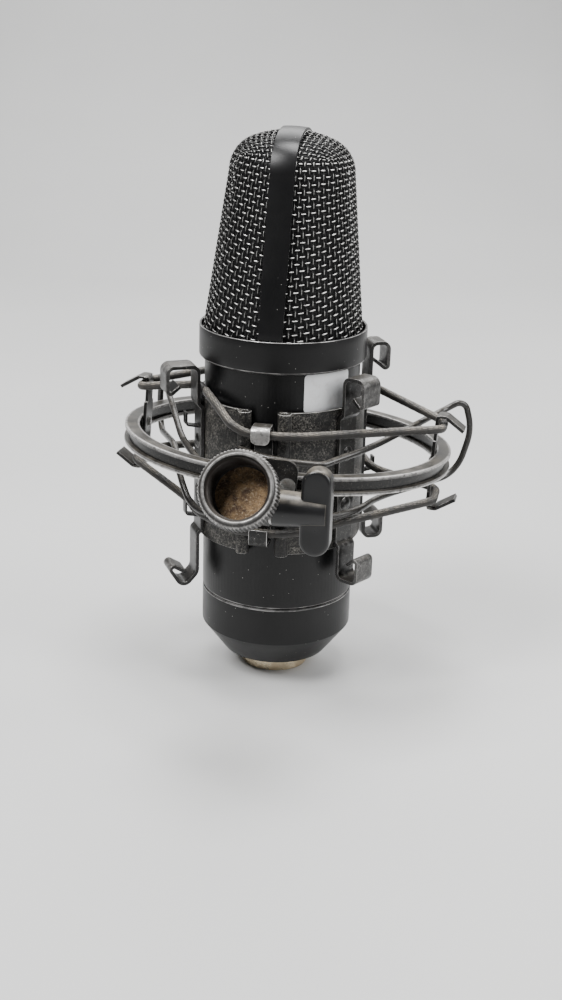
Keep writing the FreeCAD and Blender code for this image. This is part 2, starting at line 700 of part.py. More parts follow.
def build_link():
    """Front strip between the knuckles, with tabs for the elastics and lugs for the pins."""
    face = size("link_face") + size("link_thick") / 2
    reach = size("tab_reach") + size("link_thick") / 2
    high = size("link_high") - size("link_thick") / 2
    low = size("link_low") + size("link_thick") / 2
    points = [(reach, high - size("tab_drop")), (reach, high), (face, high),
              (face, low), (reach, low), (reach, low + size("tab_rise"))]
    strip = bent_sheet(points, [size("tab_bend")] * 4, size("link_thick"), 2 * size("link_half"))
    strip.rotate(Vector(), Vector(0, 0, 1), -90)
    strip = strip.cut(flap_corners(reach, high - size("tab_drop")))
    span = size("lug_high") - size("lug_low")
    for side in (-1, 1):
        centre = polar(side * size("knuckle_angle"), size("knuckle_offset"), size("lug_low"))
        lug = Part.makeCylinder(size("lug_radius"), span, centre)
        arm = Part.makeBox(abs(centre.x), size("link_thick"), span,
                           Vector(min(0, centre.x), -face - size("link_thick") / 2, size("lug_low")))
        bore = Part.makeCylinder(size("pin_rod"), span, centre)
        strip = strip.fuse([lug, arm]).cut(bore)
    keep(shaped("HingeLink", strip.removeSplitter()), "hinge_link", mount_frame())
    pins = []
    for side, word in ((-1, "Left"), (1, "Right")):
        foot = polar(side * size("knuckle_angle"), size("knuckle_offset"), size("shell_low") + 0.6)
        pins.append(rod("HingePin" + word, "pin_rod", "shell_high - shell_low - 1.2",
                        Placement(foot, Rotation())))
    keep(grouped("HingePins", pins), "hinge_pins", mount_frame())


def flap_corners(reach, low):
    """The two corners taken off the upper tab's hanging flap."""
    half = size("link_half")
    plate = Part.makeBox(2 * half, 3, 6, Vector(-half, -reach - 1.5, low))
    bottom = [edge for edge in plate.Edges
              if abs(edge.tangentAt(0).y) > 0.9 and edge.BoundBox.ZMax < low + 1]
    square = Part.makeBox(2 * half + 0.2, 3, 2, Vector(-half - 0.1, -reach - 1.5, low - 0.01))
    return square.cut(plate.makeFillet(size("tab_corner"), bottom))


# ------------------------------------------------------------------ routes

def on_mount(azimuth, radius, height):
    """A point in the clamp's frame."""
    return mount_frame().multVec(polar(azimuth, radius, height))


def on_hook(side, across, height):
    """A point on the outside of a ring hook, across towards the front."""
    outside = size("hook_face") + size("hook_thick") + size("cord_radius") + 0.05
    return hoop_frame().multVec(Vector(side * outside, -across, height))


def upper_loop():
    """The upper elastic: over the front tab, and round the tube behind."""
    front = [on_hook(-1, 0, 8.7), on_hook(-1, 4.3, 8.6), on_mount(-70, 23.75, 87.0),
             on_mount(-61, 23.75, 87.0), on_mount(-52, 23.75, 86.9), on_mount(-42, 24.9, 86.6),
             on_mount(-29, 26.6, 84.9), on_mount(-18, 28.5, 81.7), on_mount(-9, 27.6, 79.6),
             on_mount(16, 28.25, 79.4), on_hook(1, 4.3, 7.9), on_hook(1, 0, 7.5)]
    back = [on_hook(1, 0, 7.5), on_hook(1, -4.3, 8.2), on_mount(126, 28.7, 83.9),
            on_mount(153, 24.8, 87.8), on_mount(180, 24.6, 88.4), on_mount(-156, 25.2, 88.2),
            on_mount(-141, 28.4, 86.1), on_mount(-124, 28.6, 85.4), on_hook(-1, -4.3, 8.8),
            on_hook(-1, 0, 8.7)]
    return front, back


def lower_loop():
    """The lower elastic: under the front tab, and round the shells behind."""
    front = [on_hook(-1, 0, -12.8), on_hook(-1, 4.3, -13.4), on_mount(-69, 27.0, 52.6),
             on_mount(-51, 26.9, 51.7), on_mount(-34, 26.3, 51.3), on_mount(-16, 28.25, 51.0),
             on_mount(16, 28.65, 51.0), on_hook(1, 4.3, -13.2), on_hook(1, 0, -12.6)]
    back = [on_hook(1, 0, -12.6), on_hook(1, -4.3, -11.9), on_mount(108, 27.3, 61.0),
            on_mount(126, 27.0, 62.4), on_mount(143, 26.4, 63.5), on_mount(161, 26.2, 64.4),
            on_mount(180, 26.1, 65.0), on_mount(-159, 26.2, 64.4), on_mount(-141, 27.0, 63.6),
            on_mount(-123, 27.1, 62.9), on_hook(-1, -4.3, -12.2), on_hook(-1, 0, -12.8)]
    return front, back


def build_elastics():
    for label, halves in (("elastic_upper", upper_loop()), ("elastic_lower", lower_loop())):
        tubes = []
        for route in halves:
            tight = {1: 2.6, len(route) - 2: 2.6}
            tubes.append(swept_tube(route, size("cord_radius"), tight))
        loop = tubes[0].fuse(tubes[1])
        keep(shaped(label.title().replace("_", ""), loop), label)


def build_squeeze_wires():
    """Hairpin handles: each starts on the far shell's knuckle and passes round the ring."""
    right = [on_mount(-14.5, 26.85, 74.6), on_mount(8, 29.4, 73.2), on_mount(31, 33.0, 72.6),
             on_mount(64, 31.9, 74.4), Vector(48.0, 10.0, 77.2), Vector(54.4, 11.8, 80.3),
             Vector(57.0, 11.8, 71.0), Vector(53.2, 10.8, 57.4), Vector(28.6, -6.6, 55.2),
             on_mount(58, 30.6, 56.3), on_mount(34, 30.2, 55.8), on_mount(8, 28.9, 56.0),
             on_mount(-14.5, 26.85, 56.0)]
    left = [on_mount(14.5, 26.85, 69.2), on_mount(-10, 29.2, 69.4), on_mount(-34, 31.4, 69.8),
            Vector(-27.8, -11.6, 72.9), Vector(-33.6, 15.0, 78.2), Vector(-36.8, 29.2, 81.8),
            Vector(-37.9, 32.8, 71.5), Vector(-37.3, 30.0, 62.6), Vector(-31.0, 5.0, 65.8),
            Vector(-28.8, -8.0, 60.6), on_mount(-46, 29.6, 53.8), on_mount(-16, 28.9, 53.9),
            on_mount(14.5, 26.85, 53.8)]
    for label, route in (("squeeze_wire_right", right), ("squeeze_wire_left", left)):
        wire = swept_tube(route, size("squeeze_wire"), {2: 3.5})
        keep(shaped(label.title().replace("_", ""), wire), label)


# ------------------------------------------------------------------ ring

def build_hoop():
    low = "0 - hoop_height"
    ring = turned_body("hoop_ring", [
        ("hoop_inner", 0), ("hoop_inner", "0 - flange"), ("web_inner", "0 - flange"),
        ("web_inner", "flange - hoop_height"), ("hoop_inner", "flange - hoop_height"),
        ("hoop_inner", low), ("hoop_outer", low), ("hoop_outer", "flange - hoop_height"),
        ("web_outer", "flange - hoop_height"), ("web_outer", "0 - flange"),
        ("hoop_outer", "0 - flange"), ("hoop_outer", 0)])
    corners = [(size("hoop_outer"), 0), (size("hoop_inner"), 0),
               (size("hoop_outer"), -size("hoop_height")), (size("hoop_inner"), -size("hoop_height"))]
    round_edges(ring, corners, "0.3")
    keep(ring, "hoop_ring", hoop_frame())
    rivets = []
    for side, word in ((-1, "left"), (1, "right")):
        keep(shaped("HoopHook" + word, hoop_hook()), "hoop_hook_" + word, hook_place(side))
        rivet = Part.makeCylinder(1.2, size("web_inner") - size("hook_face") - 0.03,
                                  Vector(size("hook_face"), 0, -2.5), Vector(1, 0, 0))
        head = Part.makeSphere(2.0, Vector(size("hook_face") + 1.2, 0, -2.5))
        room = Part.makeBox(3, 6, 6, Vector(size("hook_face") - 3, -3, -5.5))
        rivet = rivet.fuse(head.common(room))
        rivet.Placement = hook_place(side)
        rivets.append(rivet)
    keep(shaped("HoopHookRivets", Part.makeCompound(rivets)), "hoop_hook_rivets")


def hook_place(side):
    spin = Rotation(Vector(0, 0, 1), side * size("hook_angle") - 90)
    return hoop_frame().multiply(Placement(Vector(), spin))


def hoop_hook():
    """A plate inside the ring whose two ends curl outwards over the elastics."""
    middle = size("hook_face") + size("hook_thick") / 2
    tip = size("hook_tip")
    top = size("hook_top") - size("hook_thick") / 2
    low = size("hook_low") + size("hook_thick") / 2
    points = [(tip, top - size("hook_drop")), (middle + 2.6, top), (middle, top),
              (middle, low), (middle + 2.6, low), (tip, low + size("hook_drop"))]
    bends = [size("hook_bend"), 1.0, 1.0, size("hook_bend")]
    plate = bent_sheet(points, bends, size("hook_thick"), size("hook_width"))
    notches = []
    for start in (2.2, -4.4):
        for bottom in (-16, 3.8):
            notches.append(Part.makeBox(4, 2.2, 7.2, Vector(size("hook_face") - 1, start, bottom)))
    hole = Part.makeCylinder(1.2, 4, Vector(size("hook_face") - 1, 0, -2.5), Vector(1, 0, 0))
    return plate.cut(notches + [hole])


# ------------------------------------------------------------------ stand adapter

def build_bracket():
    place = bracket_frame()
    inner = size("hoop_outer") + size("plate_gap")
    outer = inner + size("plate_sheet")
    span = size("plate_high") - size("plate_low")
    sweep = size("plate_sweep")
    wall = Part.makeCylinder(outer, span, Vector(0, 0, size("plate_low")), Vector(0, 0, 1), sweep)
    hollow = Part.makeCylinder(inner, span, Vector(0, 0, size("plate_low")), Vector(0, 0, 1), sweep)
    wall = wall.cut(hollow)
    wall.rotate(Vector(), Vector(0, 0, 1), -90 - sweep / 2)
    wall = wall.common(rounded_plate(inner + 4))
    ears = []
    for start in (size("ear_gap"), -size("ear_gap") - size("ear_thick")):
        ears.append(Part.makeCylinder(size("ear_radius"), size("ear_thick"),
                                      Vector(start, 0, 0), Vector(1, 0, 0)))
        ears.append(Part.makeBox(size("ear_thick"), size("pivot_reach") - inner - 0.4,
                                 2 * size("ear_radius"), Vector(start, 0, -size("ear_radius"))))
    bolt = Part.makeCylinder(size("bolt_clear"), 40, Vector(-20, 0, 0), Vector(1, 0, 0))
    for piece in ears + [bolt]:
        piece.Placement = pivot_on_bracket().multiply(piece.Placement)
    wall = wall.fuse(ears).cut([bolt] + screw_bores(1.25))
    keep(shaped("SwivelBracket", wall.removeSplitter()), "swivel_bracket", place)
    screws = [shank.fuse(head) for shank, head in zip(screw_bores(1.2), screw_heads())]
    keep(shaped("BracketScrews", Part.makeCompound(screws)), "bracket_screws", place)


def rounded_plate(reach):
    """A block that rounds the bracket plate's four corners when seen from the front."""
    half = 10.8
    low = size("plate_low")
    high = size("plate_high")
    base = Part.makeBox(2 * half, reach, high - low, Vector(-half, -reach - 10, low))
    upright = [edge for edge in base.Edges if abs(edge.tangentAt(0).y) > 0.9]
    return base.makeFillet(3.4, upright)


def screw_direction(side):
    return polar(side * 9.9, 1, 0)


def screw_bores(radius):
    """Shanks of the two screws that hold the bracket to the ring's web."""
    bores = []
    for side in (-1, 1):
        out = screw_direction(side)
        start = out * size("web_outer") - Vector(0, 0, size("hoop_height") / 2)
        length = size("hoop_outer") + size("plate_gap") + size("plate_sheet") - size("web_outer")
        bores.append(Part.makeCylinder(radius, length + 0.02, start, out))
    return bores


def screw_heads():
    """Slotted pan heads on those screws."""
    heads = []
    face = size("hoop_outer") + size("plate_gap") + size("plate_sheet") + 0.02
    for side in (-1, 1):
        out = screw_direction(side)
        head = Part.makeCylinder(2.2, 1.1)
        slot = Part.makeBox(6, 0.6, 0.7, Vector(-3, -0.3, 0.6))
        head = head.cut(slot)
        middle = out * face - Vector(0, 0, size("hoop_height") / 2)
        head.Placement = Placement(middle, Rotation(Vector(0, 0, 1), out))
        heads.append(head)
    return heads


def build_adapter():
    barrel = turned_body("BarrelTurned", [
        (0, "barrel_start"), ("barrel_radius - barrel_waist - 1", "barrel_start"),
        ("barrel_radius - barrel_waist", "barrel_start + 1"),
        ("barrel_radius - barrel_waist", "barrel_end - 1.8 - knurl_band"),
        ("barrel_radius", "barrel_end - 1 - knurl_band"), ("barrel_radius", "barrel_end - 0.8"),
        ("barrel_radius - 0.8", "barrel_end"), ("mouth_radius", "barrel_end"),
        ("bore_radius", "barrel_end - mouth_depth"), ("bore_radius", "recess_top"),
        ("recess_radius", "recess_top"), ("recess_radius", "bore_floor"), (0, "bore_floor")])
    knurl_grooves(barrel)
    lift = Placement(Vector(0, size("barrel_lift"), 0), Rotation())
    barrel.Placement = lift
    tongue_core = Part.makeCylinder(size("tongue_radius"), 2 * size("tongue_half"),
                                    Vector(-size("tongue_half"), 0, 0), Vector(1, 0, 0))
    neck = Part.makeBox(2 * size("tongue_half"), 2 * size("tongue_radius"), size("barrel_start") + 0.3,
                        Vector(-size("tongue_half"), -size("tongue_radius"), 0))
    bolt = Part.makeCylinder(size("bolt_clear"), 20, Vector(-10, 0, 0), Vector(1, 0, 0))
    tongue_shape = shaped("AdapterTongue", tongue_core.fuse(neck).cut(bolt))
    whole = fused("AdapterBarrel", [barrel, tongue_shape])
    keep(whole, "adapter_barrel", adapter_frame())
    disc = rod("AdapterDisc", "recess_radius - 0.1", "disc_thick",
               lift.multiply(Placement(Vector(0, 0, size("bore_floor") + 0.02), Rotation())))
    keep(disc, "adapter_disc", adapter_frame())


def knurl_grooves(barrel):
    """Upright grooves round the barrel's grip."""
    low = "barrel_end - 1 - knurl_band"
    sketch = outline_sketch(barrel, "XZ_Plane", [
        ("barrel_radius - knurl_depth", low), ("barrel_radius + 0.6", low),
        ("barrel_radius + 0.6", "barrel_end - 1"), ("barrel_radius - knurl_depth", "barrel_end - 1")])
    groove = barrel.newObject("PartDesign::Pocket", "KnurlGroove")
    groove.Profile = sketch
    groove.Length = 0.75
    groove.Midplane = True
    sketch.Visibility = False
    doc.recompute()
    ring = barrel.newObject("PartDesign::PolarPattern", "KnurlPattern")
    ring.Originals = [groove]
    ring.Axis = (sketch, ["V_Axis"])
    ring.Angle = 360
    ring.Occurrences = 40
    barrel.Tip = ring
    doc.recompute()


def along_bolt(start):
    """A frame on the cross bolt whose Z runs to the right."""
    return Placement(Vector(start, 0, 0), Rotation(Vector(0, 1, 0), 90))


def build_bolt_and_knob():
    place = pivot_frame()
    ear_outside = size("ear_gap") + size("ear_thick")
    head_start = -ear_outside - 0.05 - size("washer_thick") - 0.05 - size("bolt_head_thick")
    shank_start = head_start + size("bolt_head_thick")
    shank = rod("BoltShank", "bolt_radius", f"{size('hub_start') + 5.5 - shank_start}",
                along_bolt(shank_start))
    hexagon = doc.addObject("Part::Prism", "BoltHead")
    hexagon.Polygon = 6
    hexagon.setExpression("Circumradius", formula("bolt_head"))
    hexagon.setExpression("Height", formula("bolt_head_thick"))
    hexagon.Placement = along_bolt(head_start)
    keep(fused("SwivelBolt", [hexagon, shank]), "swivel_bolt", place)
    washers = []
    for index, start in enumerate((-ear_outside - 0.05 - size("washer_thick"), ear_outside + 0.05)):
        disc = rod(f"WasherDisc{index}", "washer_radius", "washer_thick", along_bolt(start))
        eye = rod(f"WasherEye{index}", "bolt_clear", "washer_thick", along_bolt(start))
        washers.append(cut(f"Washer{index}", disc, eye))
    keep(grouped("SwivelWashers", washers), "swivel_washers", place)
    keep(shaped("WingKnob", wing_knob()), "wing_knob", place)


def wing_knob():
    """A flat oblong wing on a round hub, turned to stand upright."""
    start = size("wing_start")
    end = size("wing_end")
    half = size("wing_half")
    thick = size("wing_thick")
    radius = (end - start) / 2 - 0.01
    wing = Part.makeBox(end - start, thick, 2 * half, Vector(start, -thick / 2, -half))
    corners = [edge for edge in wing.Edges if abs(edge.tangentAt(0).y) > 0.9]
    wing = wing.makeFillet(radius, corners)
    wing = wing.makeFillet(size("wing_round"), wing.Edges)
    hub = Part.makeCone(size("hub_radius"), size("hub_radius") - 0.7,
                        start + size("hub_overlap") - size("hub_start"),
                        Vector(size("hub_start"), 0, 0), Vector(1, 0, 0))
    bore = Part.makeCylinder(size("bolt_radius") + 0.03, 5.6,
                             Vector(size("hub_start"), 0, 0), Vector(1, 0, 0))
    return wing.fuse(hub).cut(bore)


# ------------------------------------------------------------------ assembly

build_connector()
build_casing()
build_head()
build_capsule()
build_chassis()
for hand, name in ((-1, "left"), (1, "right")):
    build_clamp_side(hand, name)
    build_rivets(hand, name)
build_strip(-size("strip_front"), "hook_strip_front_left", 0, 34.7, 35.6, True, (51.6, 78.6))
build_strip(size("strip_front"), "hook_strip_front_right", 0, 32.4, 32.6, False, ())
build_strip(-size("strip_back_left"), "hook_strip_back_left", 0, 32.4, 32.6, False, (62.6,))
build_strip(size("strip_back_right"), "hook_strip_back_right", 4.2, 31.0, 31.2, False, (61.5,))
build_link()
build_squeeze_wires()
build_hoop()
build_elastics()
build_bracket()
build_adapter()
build_bolt_and_knob()

doc.recompute()
for item in doc.Objects:
    if "Invalid" in item.State or "Error" in item.State:
        raise ValueError(f"{item.Label} did not recompute: {item.State}")
os.makedirs("parts", exist_ok=True)
for item in finished:
    if item.Shape.isNull() or not item.Shape.isValid():
        raise ValueError(f"{item.Label} has no valid shape")
    item.Shape.exportStep(os.path.join("parts", item.Label + ".step"))
print(len(finished), "sub-parts written")
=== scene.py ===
import json
import math

import bmesh
import bpy
import numpy as np
from mathutils import Matrix, Vector

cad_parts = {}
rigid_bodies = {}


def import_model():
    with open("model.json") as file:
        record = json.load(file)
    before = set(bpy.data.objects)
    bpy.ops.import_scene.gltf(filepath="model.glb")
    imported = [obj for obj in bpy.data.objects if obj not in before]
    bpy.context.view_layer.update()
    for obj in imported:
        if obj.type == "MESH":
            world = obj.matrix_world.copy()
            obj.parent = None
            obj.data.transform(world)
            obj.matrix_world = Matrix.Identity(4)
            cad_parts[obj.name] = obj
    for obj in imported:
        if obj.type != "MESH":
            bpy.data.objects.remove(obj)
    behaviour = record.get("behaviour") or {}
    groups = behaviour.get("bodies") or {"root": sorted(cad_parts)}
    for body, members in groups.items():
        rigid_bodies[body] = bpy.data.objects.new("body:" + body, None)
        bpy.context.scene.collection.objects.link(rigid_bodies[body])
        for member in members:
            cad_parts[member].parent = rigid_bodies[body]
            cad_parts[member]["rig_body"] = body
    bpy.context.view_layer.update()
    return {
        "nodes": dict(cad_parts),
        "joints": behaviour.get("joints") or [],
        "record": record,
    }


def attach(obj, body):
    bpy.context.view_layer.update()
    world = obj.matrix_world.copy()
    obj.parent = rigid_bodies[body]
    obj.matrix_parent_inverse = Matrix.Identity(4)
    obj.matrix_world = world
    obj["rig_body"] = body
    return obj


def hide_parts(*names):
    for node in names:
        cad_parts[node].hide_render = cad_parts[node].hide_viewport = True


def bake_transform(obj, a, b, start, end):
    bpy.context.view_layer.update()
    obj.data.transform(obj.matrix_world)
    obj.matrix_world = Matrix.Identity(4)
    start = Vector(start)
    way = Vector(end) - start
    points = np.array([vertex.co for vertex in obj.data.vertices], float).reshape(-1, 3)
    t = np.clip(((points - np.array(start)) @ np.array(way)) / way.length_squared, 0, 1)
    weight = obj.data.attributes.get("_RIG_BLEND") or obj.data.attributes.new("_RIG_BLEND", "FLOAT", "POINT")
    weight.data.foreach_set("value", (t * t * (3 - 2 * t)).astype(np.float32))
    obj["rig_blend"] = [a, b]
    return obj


# The visual model of a condenser microphone in a spider shock mount, built on the
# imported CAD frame. Lengths in the tables below are in millimetres unless a name
# says otherwise; the scene itself is in metres.

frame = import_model()
NODES = frame["nodes"]
RECORD = frame["record"]
MM = 0.001

# ---- camera

CAMERA_AT = (0.0, -0.4143, 0.2013)
CAMERA_PITCH = math.radians(19.92)
CAMERA_YAW = math.radians(0.09)
CAMERA_ROLL = math.radians(1.60)
CAMERA_LENS = 35.74
CAMERA_SENSOR = 24.0


def build_camera():
    """One camera, placed by its height, pitch, yaw and roll."""
    forward = Vector((math.sin(CAMERA_YAW) * math.cos(CAMERA_PITCH),
                      math.cos(CAMERA_YAW) * math.cos(CAMERA_PITCH), -math.sin(CAMERA_PITCH)))
    level = Vector((math.cos(CAMERA_YAW), -math.sin(CAMERA_YAW), 0))
    upward = level.cross(forward)
    across = math.cos(CAMERA_ROLL) * level + math.sin(CAMERA_ROLL) * upward
    top = -math.sin(CAMERA_ROLL) * level + math.cos(CAMERA_ROLL) * upward
    data = bpy.data.cameras.new("Camera")
    data.sensor_fit = "VERTICAL"
    data.sensor_height = CAMERA_SENSOR
    data.lens = CAMERA_LENS
    data.clip_start = 0.01
    camera = bpy.data.objects.new("Camera", data)
    turn = Matrix((across, top, -forward)).transposed().to_4x4()
    camera.matrix_world = Matrix.Translation(CAMERA_AT) @ turn
    bpy.context.scene.collection.objects.link(camera)
    bpy.context.scene.camera = camera


# ---- materials

class Finish:
    """A node material under construction."""

    def __init__(self, name, **sockets):
        self.material = bpy.data.materials.new(name)
        self.material.use_nodes = True
        self.tree = self.material.node_tree
        self.shader = self.tree.nodes["Principled BSDF"]
        self.place = self.node("ShaderNodeTexCoord").outputs["Object"]
        for socket, value in sockets.items():
            self.feed(value, self.shader.inputs[socket.replace("_", " ")])

    def node(self, kind, fed=None, **settings):
        """A node with its settings, and what each of its sockets is fed."""
        item = self.tree.nodes.new(kind)
        for name, value in settings.items():
            setattr(item, name, value)
        for socket, value in (fed or {}).items():
            self.feed(value, item.inputs[socket])
        return item

    def feed(self, value, socket):
        """Link an output to a socket, or set the socket to a number or colour."""
        if isinstance(value, bpy.types.NodeSocket):
            self.tree.links.new(value, socket)
        elif isinstance(value, tuple) and len(value) == 3 and len(socket.default_value) == 4:
            socket.default_value = (*value, 1.0)
        else:
            socket.default_value = value

    def noise(self, size, detail=4.0, roughness=0.55, place=None):
        """Noise with features about size millimetres across."""
        return self.node("ShaderNodeTexNoise", {
            "Scale": 1.0 / (size * MM), "Detail": detail, "Roughness": roughness,
            "Vector": place or self.place}).outputs["Fac"]

    def stretched(self, *scale):
        """Object coordinates scaled per axis, for streaks."""
        return self.node("ShaderNodeMapping", {
            "Vector": self.place, "Scale": scale}).outputs["Vector"]

    def span(self, source, low, high, start=0.0, end=1.0):
        """Map low..high onto start..end, clamped."""
        return self.node("ShaderNodeMapRange", {
            "Value": source, "From Min": low, "From Max": high, "To Min": start,
            "To Max": end}).outputs["Result"]

    def combined(self, operation, first, second):
        """A sum or product, kept between 0 and 1."""
        return self.node("ShaderNodeMath", {0: first, 1: second}, operation=operation,
                         use_clamp=True).outputs[0]

    def times(self, first, second):
        return self.combined("MULTIPLY", first, second)

    def plus(self, first, second):
        return self.combined("ADD", first, second)

    def mixed(self, share, first, second):
        """Blend two colours."""
        return self.node("ShaderNodeMix", {0: share, 6: first, 7: second},
                         data_type="RGBA").outputs[2]

    def blended(self, share, first, second):
        """Blend two numbers."""
        return self.node("ShaderNodeMix", {0: share, 2: first, 3: second}).outputs[0]

    def specks(self, size, share, radius=0.2):
        """Scattered dots: one cell in so many holds a dot."""
        item = self.node("ShaderNodeTexVoronoi", {"Scale": 1.0 / (size * MM),
                                                  "Vector": self.place})
        picked = self.node("ShaderNodeSeparateColor", {0: item.outputs["Color"]})
        chosen = self.span(picked.outputs[0], 1 - share, 1 - share + 0.01)
        near = self.span(item.outputs["Distance"], radius, radius * 0.5)
        return self.times(chosen, near)

    def mask(self, name):
        """A value painted on the mesh's points."""
        return self.node("ShaderNodeAttribute", attribute_name=name).outputs["Fac"]

    def vertical(self, vector):
        return self.node("ShaderNodeSeparateXYZ", {0: vector}).outputs["Z"]

    def upward(self):
        """How much the surface faces up."""
        return self.vertical(self.node("ShaderNodeNewGeometry").outputs["Normal"])

    def height(self):
        """Height above the floor, in metres."""
        return self.vertical(self.place)

    def colour(self, value):
        self.feed(value, self.shader.inputs["Base Color"])

    def rough(self, value):
        self.feed(value, self.shader.inputs["Roughness"])

    def metal(self, value):
        self.feed(value, self.shader.inputs["Metallic"])

    def bump(self, height, depth):
        """Relief of depth millimetres."""
        item = self.node("ShaderNodeBump", {"Distance": depth * MM, "Strength": 1.0,
                                            "Height": height})
        self.feed(item.outputs["Normal"], self.shader.inputs["Normal"])


def enamel():
    """Satin black tube paint: fine grain, a film of dust and a few bright specks."""
    skin = Finish("TubeEnamel", Specular_IOR_Level=0.3)
    cloud = skin.noise(14, 5, 0.6)
    grain = skin.noise(0.25, 3, 0.7)
    dust = skin.plus(skin.specks(2.4, 0.14, 0.06), skin.specks(0.9, 0.06, 0.15))
    haze = skin.times(skin.span(cloud, 0.42, 0.75), skin.span(grain, 0.5, 0.75, 0, 0.5))
    base = skin.mixed(haze, (0.003, 0.003, 0.0033), (0.012, 0.0115, 0.011))
    base = skin.mixed(skin.times(dust, 0.75), base, (0.40, 0.39, 0.37))
    worn = skin.span(skin.noise(3.5, 3), 0.4, 0.6, 0.2, 0.8)
    edge = skin.times(skin.mask("edge"), worn)
    edge = skin.times(edge, skin.span(skin.height(), 16 * MM, 20 * MM))
    skin.colour(skin.mixed(edge, base, (0.5, 0.49, 0.48)))
    skin.metal(skin.times(edge, 0.9))
    skin.rough(skin.blended(edge, skin.span(cloud, 0.3, 0.7, 0.30, 0.42), 0.3))
    skin.bump(skin.plus(skin.times(grain, 0.3), dust), 0.015)
    return skin.material


def worn_paint(name, base, rub, dust, grain_depth, gloss):
    """Black paint rubbed to bright metal on edges and bends, with dust on top."""
    skin = Finish(name, Specular_IOR_Level=0.35)
    patch = skin.noise(1.7, 6, 0.68)
    fine = skin.noise(0.42, 3, 0.7)
    bend = skin.times(skin.mask("bend"), skin.span(patch, 0.5, 0.66, 0, 0.5 * rub))
    edge = skin.times(skin.mask("edge"), skin.span(patch, 0.36, 0.56, 0.25, 0.9))
    chips = skin.times(skin.span(fine, 0.64, 0.68), skin.span(patch, 0.48, 0.6, 0, rub))
    bare = skin.plus(skin.plus(bend, edge), chips)
    settled = skin.times(skin.span(skin.upward(), 0.45, 0.95),
                         skin.span(skin.noise(6.0, 6, 0.7), 0.44, 0.66, 0.1, dust))
    flecks = skin.times(skin.span(fine, 0.57, 0.63), dust * 0.4)
    tone = skin.mixed(skin.plus(settled, flecks), base, (0.22, 0.20, 0.17))
    skin.colour(skin.mixed(bare, tone, (0.55, 0.535, 0.52)))
    skin.metal(skin.times(bare, 0.85))
    skin.rough(skin.blended(bare, skin.blended(settled, gloss, 0.7), 0.3))
    skin.bump(skin.plus(skin.times(fine, 0.6), patch), grain_depth)
    return skin.material


def granular_paint():
    """The clamp shells' coarse, dusty, mottled black."""
    skin = Finish("ClampGrain", Specular_IOR_Level=0.35)
    coarse = skin.noise(6.0, 7, 0.75)
    grit = skin.noise(0.55, 5, 0.85)
    pale = skin.times(skin.span(grit, 0.48, 0.62), skin.span(coarse, 0.42, 0.6, 0.1, 0.9))
    edge = skin.times(skin.mask("edge"), skin.span(coarse, 0.35, 0.5, 0.4, 1))
    tone = skin.mixed(pale, (0.004, 0.004, 0.004), (0.24, 0.225, 0.20))
    skin.colour(skin.mixed(edge, tone, (0.55, 0.54, 0.52)))
    skin.metal(skin.times(edge, 0.8))
    skin.rough(skin.span(grit, 0.3, 0.7, 0.38, 0.6))
    skin.bump(skin.plus(grit, skin.times(coarse, 0.5)), 0.09)
    return skin.material


def woven_wire():
    """Blackened wire with a painted highlight in bright metal on its crowns where it passes over."""
    skin = Finish("WovenWire", Specular_IOR_Level=0.7, Metallic=0.75)
    tint = skin.noise(2.2, 4, 0.6)
    # Painted highlight on the crowns, varied by tint.
    crown = skin.times(skin.span(skin.mask("crown"), 0.2, 0.7), skin.span(tint, 0.3, 0.6, 0.6, 1))
    skin.colour(skin.mixed(crown, (0.008, 0.008, 0.008), (0.74, 0.73, 0.71)))
    skin.rough(skin.span(tint, 0.3, 0.7, 0.28, 0.42))
    skin.bump(skin.noise(0.2, 2), 0.01)
    return skin.material


def fine_mesh():
    """The dark inner screen: a tiny grid that only glints."""
    skin = Finish("InnerScreen", Metallic=0.5)
    cell = skin.node("ShaderNodeTexVoronoi", {"Scale": 1.0 / (0.45 * MM), "Randomness": 0.15,
                                              "Vector": skin.place}, feature="DISTANCE_TO_EDGE")
    thread = skin.span(cell.outputs["Distance"], 0.16, 0.05)
    skin.colour(skin.mixed(thread, (0.002, 0.002, 0.002), (0.022, 0.022, 0.023)))
    skin.rough(skin.span(thread, 0, 1, 0.7, 0.45))
    skin.bump(thread, 0.05)
    return skin.material


def braid():
    """Dusty textile elastic with a painted highlight along its top, broken up by its ridges and fibres."""
    skin = Finish("BraidedElastic", Sheen_Weight=0.15, Sheen_Roughness=0.5,
                  Specular_IOR_Level=0.35)
    dirt = skin.noise(5.0, 6, 0.7)
    fibre = skin.noise(0.4, 4, 0.75)
    # Painted highlight: more of it the more the cord faces up.
    top = skin.span(skin.upward(), 0.25, 0.95, 0.02, 1)
    grain = skin.plus(skin.times(skin.mask("crown"), 0.35), skin.times(fibre, 0.75))
    grain = skin.span(grain, 0.42, 0.68)
    # The cord's own near-black, mottled by dirt, left where no highlight is painted.
    dark = skin.mixed(skin.span(dirt, 0.35, 0.7), (0.007, 0.0066, 0.006), (0.024, 0.021, 0.018))
    # Colour of the painted highlight on top, mottled by dirt.
    pale = skin.mixed(skin.span(dirt, 0.38, 0.62), (0.14, 0.135, 0.13), (0.38, 0.34, 0.28))
    # The painted highlight's share: on top, broken by the braid's crowns and fibres.
    highlight_share = skin.times(skin.span(top, 0.1, 1, 0.05, 1), grain)
    skin.colour(skin.mixed(highlight_share, dark, pale))
    skin.rough(skin.span(dirt, 0.3, 0.7, 0.45, 0.65))
    skin.bump(fibre, 0.06)
    return skin.material


def plain_metal(name, bright, dull, low, high, size=2.5, depth=0.01):
    """Turned or plated metal with tarnish."""
    skin = Finish(name, Metallic=1.0)
    stain = skin.noise(size, 6, 0.65)
    ring = skin.noise(0.5, 2, 0.5, skin.stretched(0.15, 0.15, 3.0))
    skin.colour(skin.mixed(skin.span(stain, 0.38, 0.66), bright, dull))
    skin.rough(skin.span(stain, 0.3, 0.7, low, high))
    skin.bump(ring, depth)
    return skin.material


